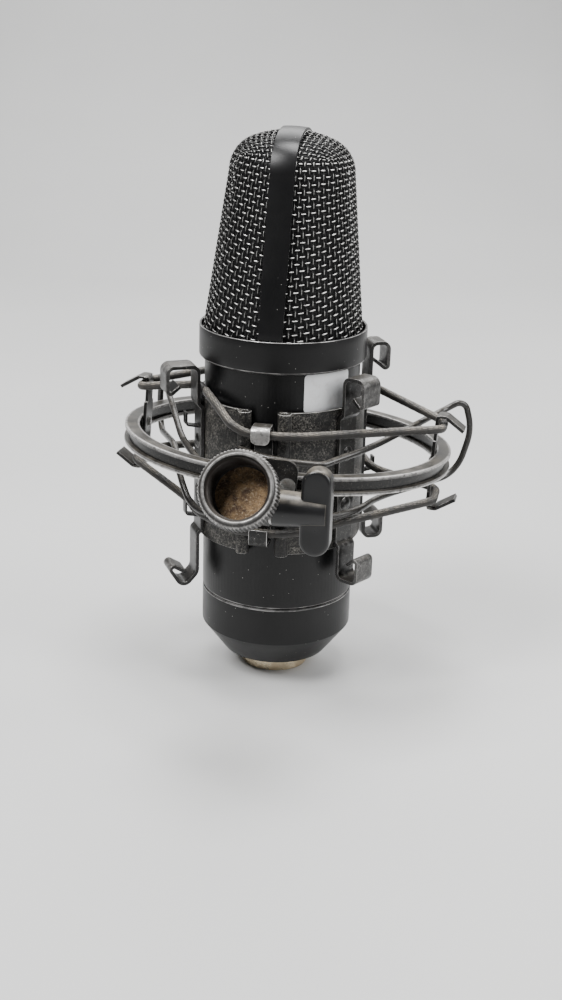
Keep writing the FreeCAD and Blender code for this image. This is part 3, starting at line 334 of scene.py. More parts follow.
def moulded(name, base, pale, dust, low=0.36, high=0.5):
    """Moulded plastic with a faint grain, handling marks and dust on top."""
    skin = Finish(name, Specular_IOR_Level=0.4)
    cloud = skin.noise(3.5, 6, 0.65)
    grain = skin.noise(0.18, 2, 0.6)
    settled = skin.times(skin.span(skin.upward(), 0.5, 0.95),
                         skin.span(cloud, 0.36, 0.6, 0.15, dust))
    speck = skin.times(skin.specks(1.1, 0.15, 0.1), dust)
    edge = skin.times(skin.mask("edge"), 0.4)
    skin.colour(skin.mixed(skin.plus(settled, skin.plus(speck, edge)), base, pale))
    skin.rough(skin.span(cloud, 0.3, 0.7, low, high))
    skin.bump(grain, 0.012)
    return skin.material


def stained_disc():
    """The old metal at the bottom of the thread: tan, pitted and blotched."""
    skin = Finish("StainedDisc", Metallic=0.35)
    blotch = skin.noise(3.0, 8, 0.72)
    pit = skin.noise(0.5, 5, 0.75)
    warm = skin.mixed(skin.span(blotch, 0.38, 0.62), (0.06, 0.032, 0.018), (0.40, 0.26, 0.13))
    cool = skin.mixed(skin.span(pit, 0.54, 0.66), warm, (0.50, 0.40, 0.27))
    skin.colour(skin.mixed(skin.span(pit, 0.44, 0.34), cool, (0.05, 0.032, 0.022)))
    skin.rough(skin.span(blotch, 0.3, 0.7, 0.45, 0.75))
    skin.bump(skin.plus(skin.times(blotch, 0.6), pit), 0.25)
    return skin.material


def blank_label():
    """White plastic label with nothing on it, a little grimy."""
    skin = Finish("BlankLabel", Specular_IOR_Level=0.5, Coat_Weight=0.2)
    grime = skin.noise(2.6, 6, 0.7)
    fibre = skin.noise(0.2, 3, 0.6)
    tone = skin.mixed(skin.span(grime, 0.5, 0.8, 0, 0.7), (0.80, 0.81, 0.82), (0.55, 0.53, 0.50))
    spots = skin.times(skin.specks(1.5, 0.12, 0.09), 0.6)
    skin.colour(skin.mixed(spots, tone, (0.25, 0.24, 0.23)))
    skin.rough(skin.span(grime, 0.3, 0.7, 0.35, 0.5))
    skin.bump(fibre, 0.008)
    return skin.material


def felt():
    """Black felt lining."""
    skin = Finish("PadFelt", Sheen_Weight=0.4)
    fluff = skin.noise(0.4, 5, 0.8)
    skin.colour(skin.mixed(fluff, (0.012, 0.012, 0.012), (0.09, 0.085, 0.08)))
    skin.rough(skin.span(fluff, 0.3, 0.7, 0.85, 0.98))
    skin.bump(fluff, 0.12)
    return skin.material


def laminate():
    """Green circuit board with faint tracks."""
    skin = Finish("CircuitLaminate")
    trace = skin.node("ShaderNodeTexBrick", {"Scale": 1.0 / (6 * MM), "Mortar Size": 0.04,
                                             "Vector": skin.place})
    skin.colour(skin.mixed(trace.outputs["Fac"], (0.012, 0.08, 0.03), (0.03, 0.17, 0.07)))
    skin.rough(skin.span(skin.noise(3), 0.3, 0.7, 0.3, 0.5))
    skin.bump(trace.outputs["Fac"], 0.03)
    return skin.material


ENAMEL = enamel()
STRIP = worn_paint("StripPaint", (0.0065, 0.0063, 0.006), 0.6, 0.30, 0.02, 0.32)
HOOP = worn_paint("HoopPaint", (0.004, 0.0039, 0.0038), 0.12, 0.42, 0.006, 0.26)
GLOSS = worn_paint("WirePaint", (0.022, 0.021, 0.020), 0.45, 0.4, 0.008, 0.2)
BORE = worn_paint("ThreadGrime", (0.010, 0.006, 0.0035), 0.08, 0.06, 0.02, 0.62)
BARREL = worn_paint("BarrelPaint", (0.012, 0.0112, 0.0105), 0.5, 0.22, 0.015, 0.33)
GRAIN = granular_paint()
WIRE = woven_wire()
SCREEN = fine_mesh()
BRAID = braid()
BRASS = plain_metal("RingBrass", (0.86, 0.74, 0.53), (0.68, 0.55, 0.37), 0.22, 0.36, 3.0, 0.02)
GOLD = plain_metal("ContactGold", (0.85, 0.66, 0.30), (0.60, 0.43, 0.20), 0.2, 0.35)
STEEL = plain_metal("ZincSteel", (0.50, 0.50, 0.49), (0.22, 0.20, 0.18), 0.3, 0.55)
KNOB = moulded("KnobPlastic", (0.009, 0.009, 0.0095), (0.27, 0.24, 0.195), 0.75, 0.27, 0.36)
BLACK = moulded("BlackPlastic", (0.012, 0.012, 0.013), (0.07, 0.068, 0.065), 0.3)
LABEL = blank_label()
DISC = stained_disc()
FELT = felt()
BOARD = laminate()


# ---- mesh helpers

def placed(mesh, material, body, replaced=()):
    """Link a finished mesh as a piece that rides on a body."""
    piece = bpy.data.objects.new(mesh.name, mesh)
    bpy.context.scene.collection.objects.link(piece)
    mesh.materials.clear()
    mesh.materials.append(material)
    if body:
        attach(piece, body)
    if replaced:
        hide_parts(*replaced)
    return piece


def body_of(node):
    """The name of the body that a node rides on."""
    return NODES[node]["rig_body"]


def mesh_from(name, points, faces, masks=None):
    """A mesh from arrays of points (metres) and faces, with named point masks."""
    mesh = bpy.data.meshes.new(name)
    mesh.from_pydata([tuple(point) for point in points], [], [tuple(face) for face in faces])
    mesh.update()
    mesh.shade_smooth()
    for mask, values in (masks or {}).items():
        layer = mesh.attributes.new(mask, "FLOAT", "POINT")
        layer.data.foreach_set("value", np.asarray(values, dtype=np.float32))
    return mesh


FULL_BEND = math.radians(14)  # faces that turn this much count as fully bent
MAX_SPLITS = 5
WELD = 2e-6  # metres
FLAT_ANGLE = math.radians(0.6)
SHARP_ANGLE = math.radians(34)
CREASE_ANGLE = math.radians(38)
TIP_DEPTH = 1.6  # how far in from a part's outermost point it is rubbed bare


def wear_marks(vert, bevelled):
    """Whether a point lies on a rounded edge, and how bent the sheet is there."""
    flat = [face for face in vert.link_faces if face not in bevelled]
    rounded = not flat and any(item.is_convex for item in vert.link_edges)
    angles = [flat[0].normal.angle(face.normal, 0) for face in flat[1:]]
    return float(rounded), min(1.0, max(angles + [0]) / FULL_BEND)


def long_edges(shape, longest):
    return [item for item in shape.edges if item.calc_length() > longest * MM]


def paint_masks(shape, bevelled, longest):
    """Mark rounded edges and bends, on a mesh fine enough to hold the marks."""
    marks = [wear_marks(vert, bevelled) for vert in shape.verts]
    edge = shape.verts.layers.float.new("edge")
    bend = shape.verts.layers.float.new("bend")
    for vert, (rounded, curved) in zip(shape.verts, marks):
        vert[edge], vert[bend] = rounded, curved
    for _ in range(MAX_SPLITS):
        if not long_edges(shape, longest):
            break
        bmesh.ops.triangulate(shape, faces=shape.faces[:])
        bmesh.ops.subdivide_edges(shape, edges=long_edges(shape, longest), cuts=1,
                                  use_grid_fill=False)


def welded_copy(node):
    """A CAD node's mesh to edit, its doubled points joined."""
    shape = bmesh.new()
    shape.from_mesh(NODES[node].data)
    bmesh.ops.remove_doubles(shape, verts=shape.verts, dist=WELD)
    return shape


def smoothed(shape, name, crease):
    """A finished mesh, smooth but for creases."""
    mesh = bpy.data.meshes.new(name)
    shape.to_mesh(mesh)
    shape.free()
    mesh.shade_smooth()
    mesh.set_sharp_from_angle(angle=crease)
    return mesh


def softened(node, material, bevel, longest=3.0, bare=0.0, bare_above=0.0):
    """The CAD solid with rounded corners, its edges and outermost face marked for wear."""
    shape = welded_copy(node)
    bmesh.ops.dissolve_limit(shape, angle_limit=FLAT_ANGLE, verts=shape.verts[:],
                             edges=shape.edges[:])
    sharp = [item for item in shape.edges
             if item.is_manifold and item.calc_face_angle(0) > SHARP_ANGLE]
    made = bmesh.ops.bevel(shape, geom=sharp, offset=bevel * MM, segments=3, profile=0.5,
                           affect="EDGES", clamp_overlap=True)
    paint_masks(shape, set(made["faces"]), longest)
    edge = shape.verts.layers.float["edge"]
    reach = max(vert.co.xy.length for vert in shape.verts)
    for vert in shape.verts:
        if vert.co.xy.length > reach - TIP_DEPTH * MM and vert.co.z > bare_above * MM:
            vert[edge] = max(vert[edge], bare)
    mesh = smoothed(shape, node + "_soft", CREASE_ANGLE)
    placed(mesh, material, body_of(node), [node])


def finished_node(node, material):
    """Keep a CAD node as it is and give it a proper finish."""
    data = NODES[node].data
    data.materials.clear()
    data.materials.append(material)


def circle_through(first, middle, last, count):
    """Points along the arc through three flat points."""
    (ax, ay), (bx, by), (cx, cy) = first, middle, last
    scale = 2 * (ax * (by - cy) + bx * (cy - ay) + cx * (ay - by))
    squares = [x * x + y * y for x, y in (first, middle, last)]
    x0 = (squares[0] * (by - cy) + squares[1] * (cy - ay) + squares[2] * (ay - by)) / scale
    y0 = (squares[0] * (cx - bx) + squares[1] * (ax - cx) + squares[2] * (bx - ax)) / scale
    radius = math.hypot(ax - x0, ay - y0)
    start = math.atan2(ay - y0, ax - x0)
    end = math.atan2(cy - y0, cx - x0)
    angles = np.linspace(start, end, count)
    return [(x0 + radius * math.cos(angle), y0 + radius * math.sin(angle)) for angle in angles]


# ---- woven head

MIC_TURN = math.radians(-9)
HEAD_LEAN = math.radians(1.7)
HEAD_HINGE = Vector((0, 0, 104.6 * MM))
HEAD_FOOT = (23.05, 100.2)  # radius and height of points on the head's outline
HEAD_SHOULDER = (17.45, 147.2)
HEAD_TURN = (16.0, 152.2)
HEAD_CROWN = (11.9, 155.9)
HEAD_TOP = 158.4
OUTLINE_STEPS = 40
NORMAL_REACH = 0.6  # half the length over which the outline's slope is read
WEAVE_RADIUS = 0.18
WEAVE_SIDES = 6
WEAVE_LIFT = 0.25  # a wire's rise over and under the middle of the mesh
WEAVE_ROW = 1.9  # pitch of the level wires
CAP_WIRES = 21  # upright wires across the cap, each way
WEAVE_STEPS = 6  # sections from one crossing to the next
WEAVE_REST = 0.15  # share of a step that a wire stays level at a crossing
ROWS_BEYOND = 5
# Strength of the painted highlight on the crowns of upright and level wires; the level wires get more.
UPRIGHT_HIGHLIGHT = 0.5
LEVEL_HIGHLIGHT = 1.0
CAP_LENGTH = 17.5  # from the top to where the rows begin
PULL_LIFT = 7.0  # how far rows are lifted at the sides of the head
PULL_CROWD = 0.04
BAND_BEVEL = 0.16
BAND_LONGEST = 2.5


def head_matrix():
    """The head leans a little and is turned with the microphone."""
    lean = Matrix.Rotation(HEAD_LEAN, 4, "Y")
    back = Matrix.Translation(HEAD_HINGE) @ lean @ Matrix.Translation(-HEAD_HINGE)
    return back @ Matrix.Rotation(MIC_TURN, 4, "Z")


class HeadSurface:
    """The head's outline, measured by its length from the top."""

    def __init__(self, inset):
        foot = (HEAD_FOOT[0] - inset, HEAD_FOOT[1])
        shoulder = (HEAD_SHOULDER[0] - inset, HEAD_SHOULDER[1])
        squeeze = shoulder[0] / HEAD_SHOULDER[0]
        sink = inset / (HEAD_TOP - HEAD_SHOULDER[1])
        middle, crown = ((radius * squeeze, level - sink * (level - HEAD_SHOULDER[1]))
                         for radius, level in (HEAD_TURN, HEAD_CROWN))
        top = HEAD_TOP - inset
        ball = (crown[0] ** 2 + (top - crown[1]) ** 2) / (2 * (top - crown[1]))
        half = crown[0] / 2
        cap = circle_through((0.0, top), (half, top - ball + math.sqrt(ball ** 2 - half ** 2)),
                             crown, OUTLINE_STEPS)
        turn = circle_through(crown, middle, shoulder, OUTLINE_STEPS)
        outline = np.array(cap + turn[1:] + [foot])
        steps = np.hypot(*np.diff(outline, axis=0).T)
        self.length = np.concatenate(([0.0], np.cumsum(steps)))
        self.outline = outline
        self.full_length = self.length[-1]

    def at(self, length):
        """Radius and height at lengths from the top."""
        return [np.interp(length, self.length, column) for column in self.outline.T]

    def spot(self, length, azimuth):
        """Points and outward normals at lengths from the top and azimuths from the front."""
        radius, height = self.at(np.minimum(length, self.full_length))
        ahead = np.minimum(length + NORMAL_REACH, self.full_length)
        wide, low = self.at(ahead)
        narrow, high = self.at(np.maximum(ahead - 2 * NORMAL_REACH, 0.0))
        rise, drop = wide - narrow, low - high
        size = np.hypot(rise, drop)
        out, up = -drop / size, rise / size
        sine, cosine = np.sin(azimuth), np.cos(azimuth)
        points = np.stack((radius * sine, -radius * cosine, height), axis=1)
        normals = np.stack((out * sine, -out * cosine, up), axis=1)
        return points, normals


def pulled(length, azimuth, surface):
    """How drawing the mesh over its former crowds the wires at the sides and lifts the rows."""
    depth = np.clip((length - CAP_LENGTH) / (surface.full_length - CAP_LENGTH), 0, 1)
    return (length - PULL_LIFT * depth * (2 - depth) * np.sin(azimuth) ** 2,
            azimuth + PULL_CROWD * depth * np.sin(2 * azimuth))


def weave_route(lengths, azimuths, signs, surface, closed=False):
    """A wire through crossings on the surface, over at sign 1 and under at sign -1."""
    count = len(lengths)
    last = count if closed else count - 1
    share = np.arange(last * WEAVE_STEPS + (0 if closed else 1)) / WEAVE_STEPS
    index = np.minimum(share.astype(int), count - 1 if closed else count - 2)
    part = share - index
    following = (index + 1) % count
    turn = (azimuths[following] - azimuths[index] + math.pi) % (2 * math.pi) - math.pi
    length = lengths[index] * (1 - part) + lengths[following] * part
    azimuth = azimuths[index] + turn * part
    passage = np.clip((part - WEAVE_REST) / (1 - 2 * WEAVE_REST), 0, 1)
    ride = (1 - np.cos(math.pi * passage)) / 2
    sign = signs[index] * (1 - ride) + signs[following] * ride
    length, azimuth = pulled(length, azimuth, surface)
    kept = np.full(len(length), True) if closed else length < surface.full_length
    points, normals = surface.spot(length[kept], azimuth[kept])
    sign = sign[kept]
    return points + normals * (sign * WEAVE_LIFT)[:, None], normals, sign


def cap_spot(first, second):
    """From square cap coordinates to a length from the top and an azimuth."""
    across = first * np.sqrt(1 - second ** 2 / 2)
    ahead = second * np.sqrt(1 - first ** 2 / 2)
    return np.hypot(across, ahead) * CAP_LENGTH, np.arctan2(across, ahead)


def weave_routes(surface):
    """Every wire: over and under swap at each crossing, like a chessboard."""
    side = CAP_WIRES
    lines = (2 * np.arange(side) + 1 - side) / side
    quarter = np.arcsin(lines / math.sqrt(2))
    rows = np.arange(CAP_LENGTH + 0.5 * WEAVE_ROW, surface.full_length + ROWS_BEYOND, WEAVE_ROW)
    routes = []
    for turn in (0, 1):
        for index, line in enumerate(lines):
            across = lines[::-1] if turn else np.full(side, line)
            ahead = np.full(side, -line) if turn else -lines
            lengths, azimuths = cap_spot(across, ahead)
            start = turn * math.pi / 2 + quarter[index]
            finish = (turn * math.pi / 2 + math.pi) - quarter[index]
            lengths = np.concatenate((rows[::-1], lengths, rows))
            azimuths = np.concatenate((np.full(len(rows), start), azimuths,
                                       np.full(len(rows), finish)))
            step = len(rows) - 1 - np.arange(len(lengths)) + turn * side + index
            routes.append((*weave_route(lengths, azimuths, np.where(step % 2, 1.0, -1.0),
                                        surface), UPRIGHT_HIGHLIGHT, False))
    columns = np.concatenate([quarter + turn * math.pi / 2 for turn in range(4)])
    for row, length in enumerate(rows):
        step = np.arange(len(columns)) + row
        routes.append((*weave_route(np.full(len(columns), length), columns,
                                    np.where(step % 2, -1.0, 1.0), surface, True),
                       LEVEL_HIGHLIGHT, True))
    return routes


def unit(vectors):
    """Vectors cut to length one."""
    return vectors / np.linalg.norm(vectors, axis=1)[:, None]


def full_turn(count):
    """Angles spread evenly round a circle."""
    return np.arange(count) * 2 * math.pi / count


def around(first, second, turns):
    """Unit vectors round each point of a line, from the two that span its section."""
    return (first[:, None, :] * np.cos(turns)[None, :, None]
            + second[:, None, :] * np.sin(turns)[None, :, None])


def tube_faces(count, sides, closed, start=0):
    """Quads between count rings of points, the last joined to the first if closed."""
    faces = []
    for index in range(count if closed else count - 1):
        here = start + index * sides
        there = start + (index + 1) % count * sides
        for turn in range(sides):
            spin = (turn + 1) % sides
            faces.append((here + turn, here + spin, there + spin, there + turn))
    return faces


def wire_mesh(name, routes, radius, sides):
    """One mesh of many thin tubes whose sections lie on the given normals."""
    points, faces, crowns = [], [], []
    turns = full_turn(sides)
    for line, normals, sign, highlight_strength, closed in routes:
        if closed:
            along = np.roll(line, -1, axis=0) - np.roll(line, 1, axis=0)
        else:
            along = np.gradient(line, axis=0)
        along = unit(along)
        across = unit(np.cross(along, normals))
        outward = np.cross(across, along)
        start = len(points) * sides
        rings = line[:, None, :] + radius * around(outward, across, turns)
        # Painted highlight mask: the outward side of a wire where it passes over.
        crown = highlight_strength * np.clip(sign, 0, 1)[:, None] * np.clip(np.cos(turns), 0, 1)[None, :]
        points.extend(rings)
        crowns.extend(crown)
        faces += tube_faces(len(line), sides, closed, start)
    points = np.concatenate(points) * MM
    return mesh_from(name, points, faces, masks={"crown": np.concatenate(crowns)})


def build_head():
    """The woven head over its fine screen, and the band across it."""
    surface = HeadSurface(WEAVE_RADIUS + WEAVE_LIFT)
    mesh = wire_mesh("grille_weave", weave_routes(surface), WEAVE_RADIUS, WEAVE_SIDES)
    mesh.transform(head_matrix())
    placed(mesh, WIRE, "mic", ["grille_mesh"])
    finished_node("grille_liner", SCREEN)
    softened("grille_band", ENAMEL, BAND_BEVEL, BAND_LONGEST)


# ---- elastics and wires

MOUNT_TURN = math.radians(-11)
HOOP_CENTRE = (2.3, 0, 72.3)
HOOP_FRONT_TILT = math.radians(-3.35)
HOOP_SIDE_TILT = math.radians(3.7)
HOOK_FACE = 42.1  # a ring hook's inner face, from the ring's middle
HOOK_THICK = 1.0
CORD_RADIUS = 1.2
CORD_GAP = 0.05
CORD_STEP = 0.26  # length of one section of a cord's mesh
CORD_SIDES = 24
STRANDS = 12
LAY = 3.4  # length in which a strand goes once round
RIDGE = 0.07
HOOK_TURN = 2.6  # radius in which a cord turns round a hook
STRAIGHT = 0.02  # bends under this many radians are left alone
BEND_ROOM = 0.45  # share of a run that one bend may use
STRETCH_START = 27  # sideways from the middle, a cord rides on the clamp up to here
STRETCH_END = 41  # and on the ring from here, which is off centre
FRONT_SEAM = 27  # radius on the clamp, right in front
BACK_SEAM = 4.0
FEWEST_STEPS = 4  # sections in the shortest bend
RIDGE_POWER = 3


def polar(azimuth, radius, height):
    """A point by its azimuth from the front, in degrees."""
    angle = math.radians(azimuth - 90)
    return Vector((radius * math.cos(angle), radius * math.sin(angle), height))


def on_mount(azimuth, radius, height):
    """A point in the clamp's turned frame, in millimetres."""
    return Matrix.Rotation(MOUNT_TURN, 3, "Z") @ polar(azimuth, radius, height)


def hoop_matrix():
    """The ring's frame, in millimetres: the middle of its upper face."""
    tilt = Matrix.Rotation(HOOP_FRONT_TILT, 4, "X") @ Matrix.Rotation(HOOP_SIDE_TILT, 4, "Y")
    place = Matrix.Translation(HOOP_CENTRE) @ tilt
    return place @ Matrix.Rotation(MOUNT_TURN, 4, "Z")


def on_hook(side, across, height):
    """A point on the outside of a ring hook, in millimetres."""
    reach = HOOK_FACE + HOOK_THICK + CORD_RADIUS + CORD_GAP
    return hoop_matrix() @ Vector((side * reach, -across, height))


def distances(line):
    """How far along a line each of its points is."""
    steps = np.linalg.norm(np.diff(line, axis=0), axis=1)
    return np.concatenate(([0.0], np.cumsum(steps)))


def bent_route(points):
    """Evenly spaced points along straight runs and tangent bends, tight next to the hooks."""
    line = [np.array(points[0])]
    for index in range(1, len(points) - 1):
        corner = np.array(points[index])
        runs = np.array([points[index - 1], points[index + 1]]) - corner
        short = np.linalg.norm(runs, axis=1).min()
        before, after = unit(runs)
        half = math.acos(np.clip(before @ after, -1, 1)) / 2
        bend = math.pi - 2 * half
        if bend < STRAIGHT:
            line.append(corner)
            continue
        radius = BEND_ROOM * short * math.tan(half)
        if index in (1, len(points) - 2):
            radius = min(radius, HOOK_TURN)
        inward = (before + after) / np.linalg.norm(before + after)
        centre = corner + inward * (radius / math.sin(half))
        start = corner + before * (radius / math.tan(half)) - centre
        end = corner + after * (radius / math.tan(half)) - centre
        for share in np.linspace(0, 1, max(FEWEST_STEPS, int(radius * bend / CORD_STEP) + 1)):
            line.append(centre + (math.sin((1 - share) * bend) * start
                                  + math.sin(share * bend) * end) / math.sin(bend))
    line.append(np.array(points[-1]))
    line = np.array(line)
    lengths = distances(line)
    even = np.linspace(0, lengths[-1], max(2, int(lengths[-1] / CORD_STEP)))
    return np.stack([np.interp(even, lengths, line[:, axis]) for axis in range(3)], axis=1)


def carried_normals(line):
    """Side vectors carried along a line without twisting."""
    along = unit(np.gradient(line, axis=0))
    side = np.cross(along[0], (0, 0, 1))
    sides = []
    for direction in along:
        side = side - direction * np.dot(side, direction)
        side = side / np.linalg.norm(side)
        sides.append(side)
    return along, np.array(sides)


def braided(name, line):
    """A braided cord: crossing ridges that wind both ways round it."""
    along, first = carried_normals(line)
    second = np.cross(along, first)
    turns = full_turn(CORD_SIDES)
    phase = distances(line)[:, None] * 2 * math.pi / LAY
    one = np.abs(np.sin((STRANDS * turns[None, :] + phase) / 2))
    two = np.abs(np.sin((STRANDS * turns[None, :] - phase) / 2))
    crown = np.maximum(one, two) ** RIDGE_POWER
    radius = CORD_RADIUS - RIDGE + RIDGE * crown
    rings = line[:, None, :] + radius[:, :, None] * around(first, second, turns)
    faces = tube_faces(len(line), CORD_SIDES, False)
    return mesh_from(name, rings.reshape(-1, 3) * MM, faces, masks={"crown": crown.reshape(-1)})


UPPER_FRONT = [
    on_hook(-1, 0, 8.7), on_hook(-1, 4.3, 8.6), on_mount(-70, 23.75, 87.0),
    on_mount(-61, 23.75, 87.0), on_mount(-52, 23.75, 86.9), on_mount(-42, 24.9, 86.6),
    on_mount(-29, 26.6, 84.9), on_mount(-18, 28.5, 81.7), on_mount(-9, 27.6, 79.6),
    on_mount(16, 28.25, 79.4), on_hook(1, 4.3, 7.9), on_hook(1, 0, 7.5)]
UPPER_BACK = [
    on_hook(1, 0, 7.5), on_hook(1, -4.3, 8.2), on_mount(126, 28.7, 83.9),
    on_mount(153, 24.8, 87.8), on_mount(180, 24.6, 88.4), on_mount(-156, 25.2, 88.2),
    on_mount(-141, 28.4, 86.1), on_mount(-124, 28.6, 85.4), on_hook(-1, -4.3, 8.8),
    on_hook(-1, 0, 8.7)]
LOWER_FRONT = [
    on_hook(-1, 0, -12.8), on_hook(-1, 4.3, -13.4), on_mount(-69, 27.0, 52.6),
    on_mount(-51, 26.9, 51.7), on_mount(-34, 26.3, 51.3), on_mount(-16, 28.25, 51.0),
    on_mount(16, 28.65, 51.0), on_hook(1, 4.3, -13.2), on_hook(1, 0, -12.6)]
LOWER_BACK = [
    on_hook(1, 0, -12.6), on_hook(1, -4.3, -11.9), on_mount(108, 27.3, 61.0),
    on_mount(126, 27.0, 62.4), on_mount(143, 26.4, 63.5), on_mount(161, 26.2, 64.4),
    on_mount(180, 26.1, 65.0), on_mount(-159, 26.2, 64.4), on_mount(-141, 27.0, 63.6),
    on_mount(-123, 27.1, 62.9), on_hook(-1, -4.3, -12.2), on_hook(-1, 0, -12.8)]


def build_elastics():
    """Each loop in two halves, which stretch between the clamp and the moving ring."""
    for label, front, back in (("elastic_upper", UPPER_FRONT, UPPER_BACK),
                               ("elastic_lower", LOWER_FRONT, LOWER_BACK)):
        ahead, behind = bent_route(front), bent_route(back)
        whole = np.concatenate((ahead[:-1], behind[:-1]))
        seam_front = int(np.argmin(np.abs(ahead[:, 0] - on_mount(0, FRONT_SEAM, 0).x)))
        seam_back = len(ahead) - 1 + int(np.argmin(np.abs(behind[:-1, 0] - BACK_SEAM)))
        right = whole[seam_front:seam_back + 1]
        left = np.concatenate((whole[seam_back:], whole[:seam_front + 1]))
        for word, side, line in (("right", 1, right), ("left", -1, left)):
            piece = placed(braided(f"{label}_{word}", line), BRAID, None)
            start = Vector((side * STRETCH_START, 0, 0)) * MM
            end = Vector((HOOP_CENTRE[0] + side * STRETCH_END, 0, 0)) * MM
            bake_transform(piece, "mic", "hoop", start=tuple(start), end=tuple(end))
            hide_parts(label)


# ---- stand adapter

def adapter_matrices():
    """The barrel's frame and the pivot's: the thread opens along +Z, the bolt runs along X."""
    joint = next(item for item in frame["joints"] if item["name"] == "adapter_tilt")
    mouth = next(item for item in RECORD["mounts"] if item["name"] == "stand_thread")
    up = Vector(mouth["axis"]).normalized()
    across = Vector(joint["axis"]).normalized()
    side = up.cross(across).normalized()
    pivot = Vector(joint["pos_m"])
    reach = (Vector(mouth["pos_m"]) - pivot).dot(up)
    origin = Vector(mouth["pos_m"]) - up * reach
    turn = Matrix((across, side, up)).transposed().to_4x4()
    return Matrix.Translation(origin) @ turn, Matrix.Translation(pivot) @ turn


def lathed(name, rings, levels, edges, closed=False, capped=False):
    """A turned mesh: one ring of radii per level, with wear at each point."""
    count = len(rings[0])
    angles = full_turn(count)
    points = np.concatenate([np.stack((radii * np.cos(angles), radii * np.sin(angles),
                                       np.full(count, level)), axis=1)
                             for radii, level in zip(rings, levels)])
    faces = tube_faces(len(rings), count, closed)
    if capped:
        faces.append(tuple(range(count - 1, -1, -1)))
    edges = np.clip(np.concatenate(edges), 0, 1)
    return mesh_from(name, points * MM, faces, masks={"edge": edges})


# Radius, level along the thread, share of the knurl's depth, wear.
BARREL_OUTLINE = [
    (6.6, 5.6, 0, 0), (7.6, 5.65, 0, 0.5), (8.3, 6.0, 0, 0.2), (8.75, 6.7, 0, 0),
    (8.8, 8.0, 0, 0), (8.85, 9.7, 0, 0), (9.2, 10.1, 0, 0), (9.85, 10.5, 0.3, 0.5),
    (10.12, 10.8, 1, 0.4), (10.2, 11.4, 1, 0), (10.2, 13.2, 1, 0), (10.2, 15.0, 1, 0),
    (10.15, 15.6, 1, 0.2), (9.95, 16.05, 0.7, 0.6), (9.6, 16.3, 0.1, 0.1), (9.4, 16.35, 0, 0),
    (9.15, 16.55, 0, 0.05), (8.95, 16.76, 0, 0.25), (8.7, 16.8, 0, 0.55), (8.45, 16.74, 0, 0.5),
    (8.25, 16.5, 0, 0), (8.15, 16.15, 0, 0), (8.0, 15.9, 0, 0)]
BARREL_SIDES = 288
KNURLS = 64
KNURL_DEPTH = 0.42
KNURL_ROUND = 0.7  # the lower, the flatter a knurl's top
KNURL_CREST = 0.93
KNURL_WEAR = 0.4
THREAD_PITCH = 0.94
THREAD_DEPTH = 0.42
THREAD_ROOT = 7.95
THREAD_WEAR = 0.15
THREAD_LEVELS = (15.7, 7.0)
THREAD_STEP = 0.157  # height of one section of the thread's mesh
FLANK = 3.2  # steepness of the thread's sides
CREST_FADE = 8
MOUTH = (8.0, 15.9)  # radius and level
FLOOR = (7.3, 6.9)
TONGUE_RADIUS = 5.0
TONGUE_HALF = 4.3
TONGUE_REACH = 5.7
TONGUE_BEVEL = 0.3
TONGUE_LONGEST = 2.0
TONGUE_STEPS = 25
TONGUE_CREASE = math.radians(40)


def on_adapter(mesh, material, place):
    """One of the three meshes that stand for the barrel."""
    mesh.transform(place)
    placed(mesh, material, "adapter", ["adapter_barrel"])


def build_barrel(place):
    """Knurled barrel with a rolled lip."""
    angles = full_turn(BARREL_SIDES)
    bumps = np.abs(np.sin(angles * KNURLS / 2)) ** KNURL_ROUND
    rings = [radius - KNURL_DEPTH * knurl * (1 - bumps) for radius, _, knurl, _ in BARREL_OUTLINE]
    levels = [level for _, level, _, _ in BARREL_OUTLINE]
    rubbed = np.where(bumps > KNURL_CREST, KNURL_WEAR, 0)
    edges = [worn + knurl * rubbed for _, _, knurl, worn in BARREL_OUTLINE]
    on_adapter(lathed("adapter_barrel_knurled", rings, levels, edges, capped=True), BARREL, place)


def build_thread(place):
    """The stand thread, a real helix, which faces inward."""
    angles = full_turn(BARREL_SIDES)
    turned = np.arange(*THREAD_LEVELS, -THREAD_STEP)
    levels = np.concatenate(([MOUTH[1]], turned, [FLOOR[1], FLOOR[1]]))
    rings = []
    for level in levels:
        phase = (level / THREAD_PITCH - angles / (2 * math.pi)) % 1.0
        rings.append(THREAD_ROOT - THREAD_DEPTH * np.clip(1 - np.abs(phase - 0.5) * FLANK, 0, 1))
    rings[0] = np.full(BARREL_SIDES, MOUTH[0])
    rings[-1] = np.full(BARREL_SIDES, FLOOR[0])
    crest = THREAD_ROOT - THREAD_DEPTH
    edges = [THREAD_WEAR * (1 - np.clip((radii - crest) * CREST_FADE, 0, 1)) for radii in rings]
    mesh = lathed("adapter_thread", rings[::-1], levels[::-1], edges[::-1])
    mesh.flip_normals()
    on_adapter(mesh, BORE, place)


def build_tongue(place):
    """The flat tongue behind the barrel, round about the cross bolt."""
    shape = bmesh.new()
    corners = [(TONGUE_RADIUS * math.cos(angle), TONGUE_RADIUS * math.sin(angle))
               for angle in np.linspace(0, -math.pi, TONGUE_STEPS)]
    corners += [(-TONGUE_RADIUS, TONGUE_REACH), (TONGUE_RADIUS, TONGUE_REACH)]
    face = shape.faces.new([shape.verts.new((-TONGUE_HALF * MM, side * MM, up * MM))
                            for side, up in corners])
    grown = bmesh.ops.extrude_face_region(shape, geom=[face])
    moved = [item for item in grown["geom"] if isinstance(item, bmesh.types.BMVert)]
    bmesh.ops.translate(shape, verts=moved, vec=(2 * TONGUE_HALF * MM, 0, 0))
    bmesh.ops.recalc_face_normals(shape, faces=shape.faces[:])
    sharp = [item for item in shape.edges if item.calc_face_angle(0) > TONGUE_CREASE]
    made = bmesh.ops.bevel(shape, geom=sharp, offset=TONGUE_BEVEL * MM, segments=2, profile=0.5,
                           affect="EDGES", clamp_overlap=True)
    paint_masks(shape, set(made["faces"]), TONGUE_LONGEST)
    on_adapter(smoothed(shape, "adapter_tongue", TONGUE_CREASE), BARREL, place)


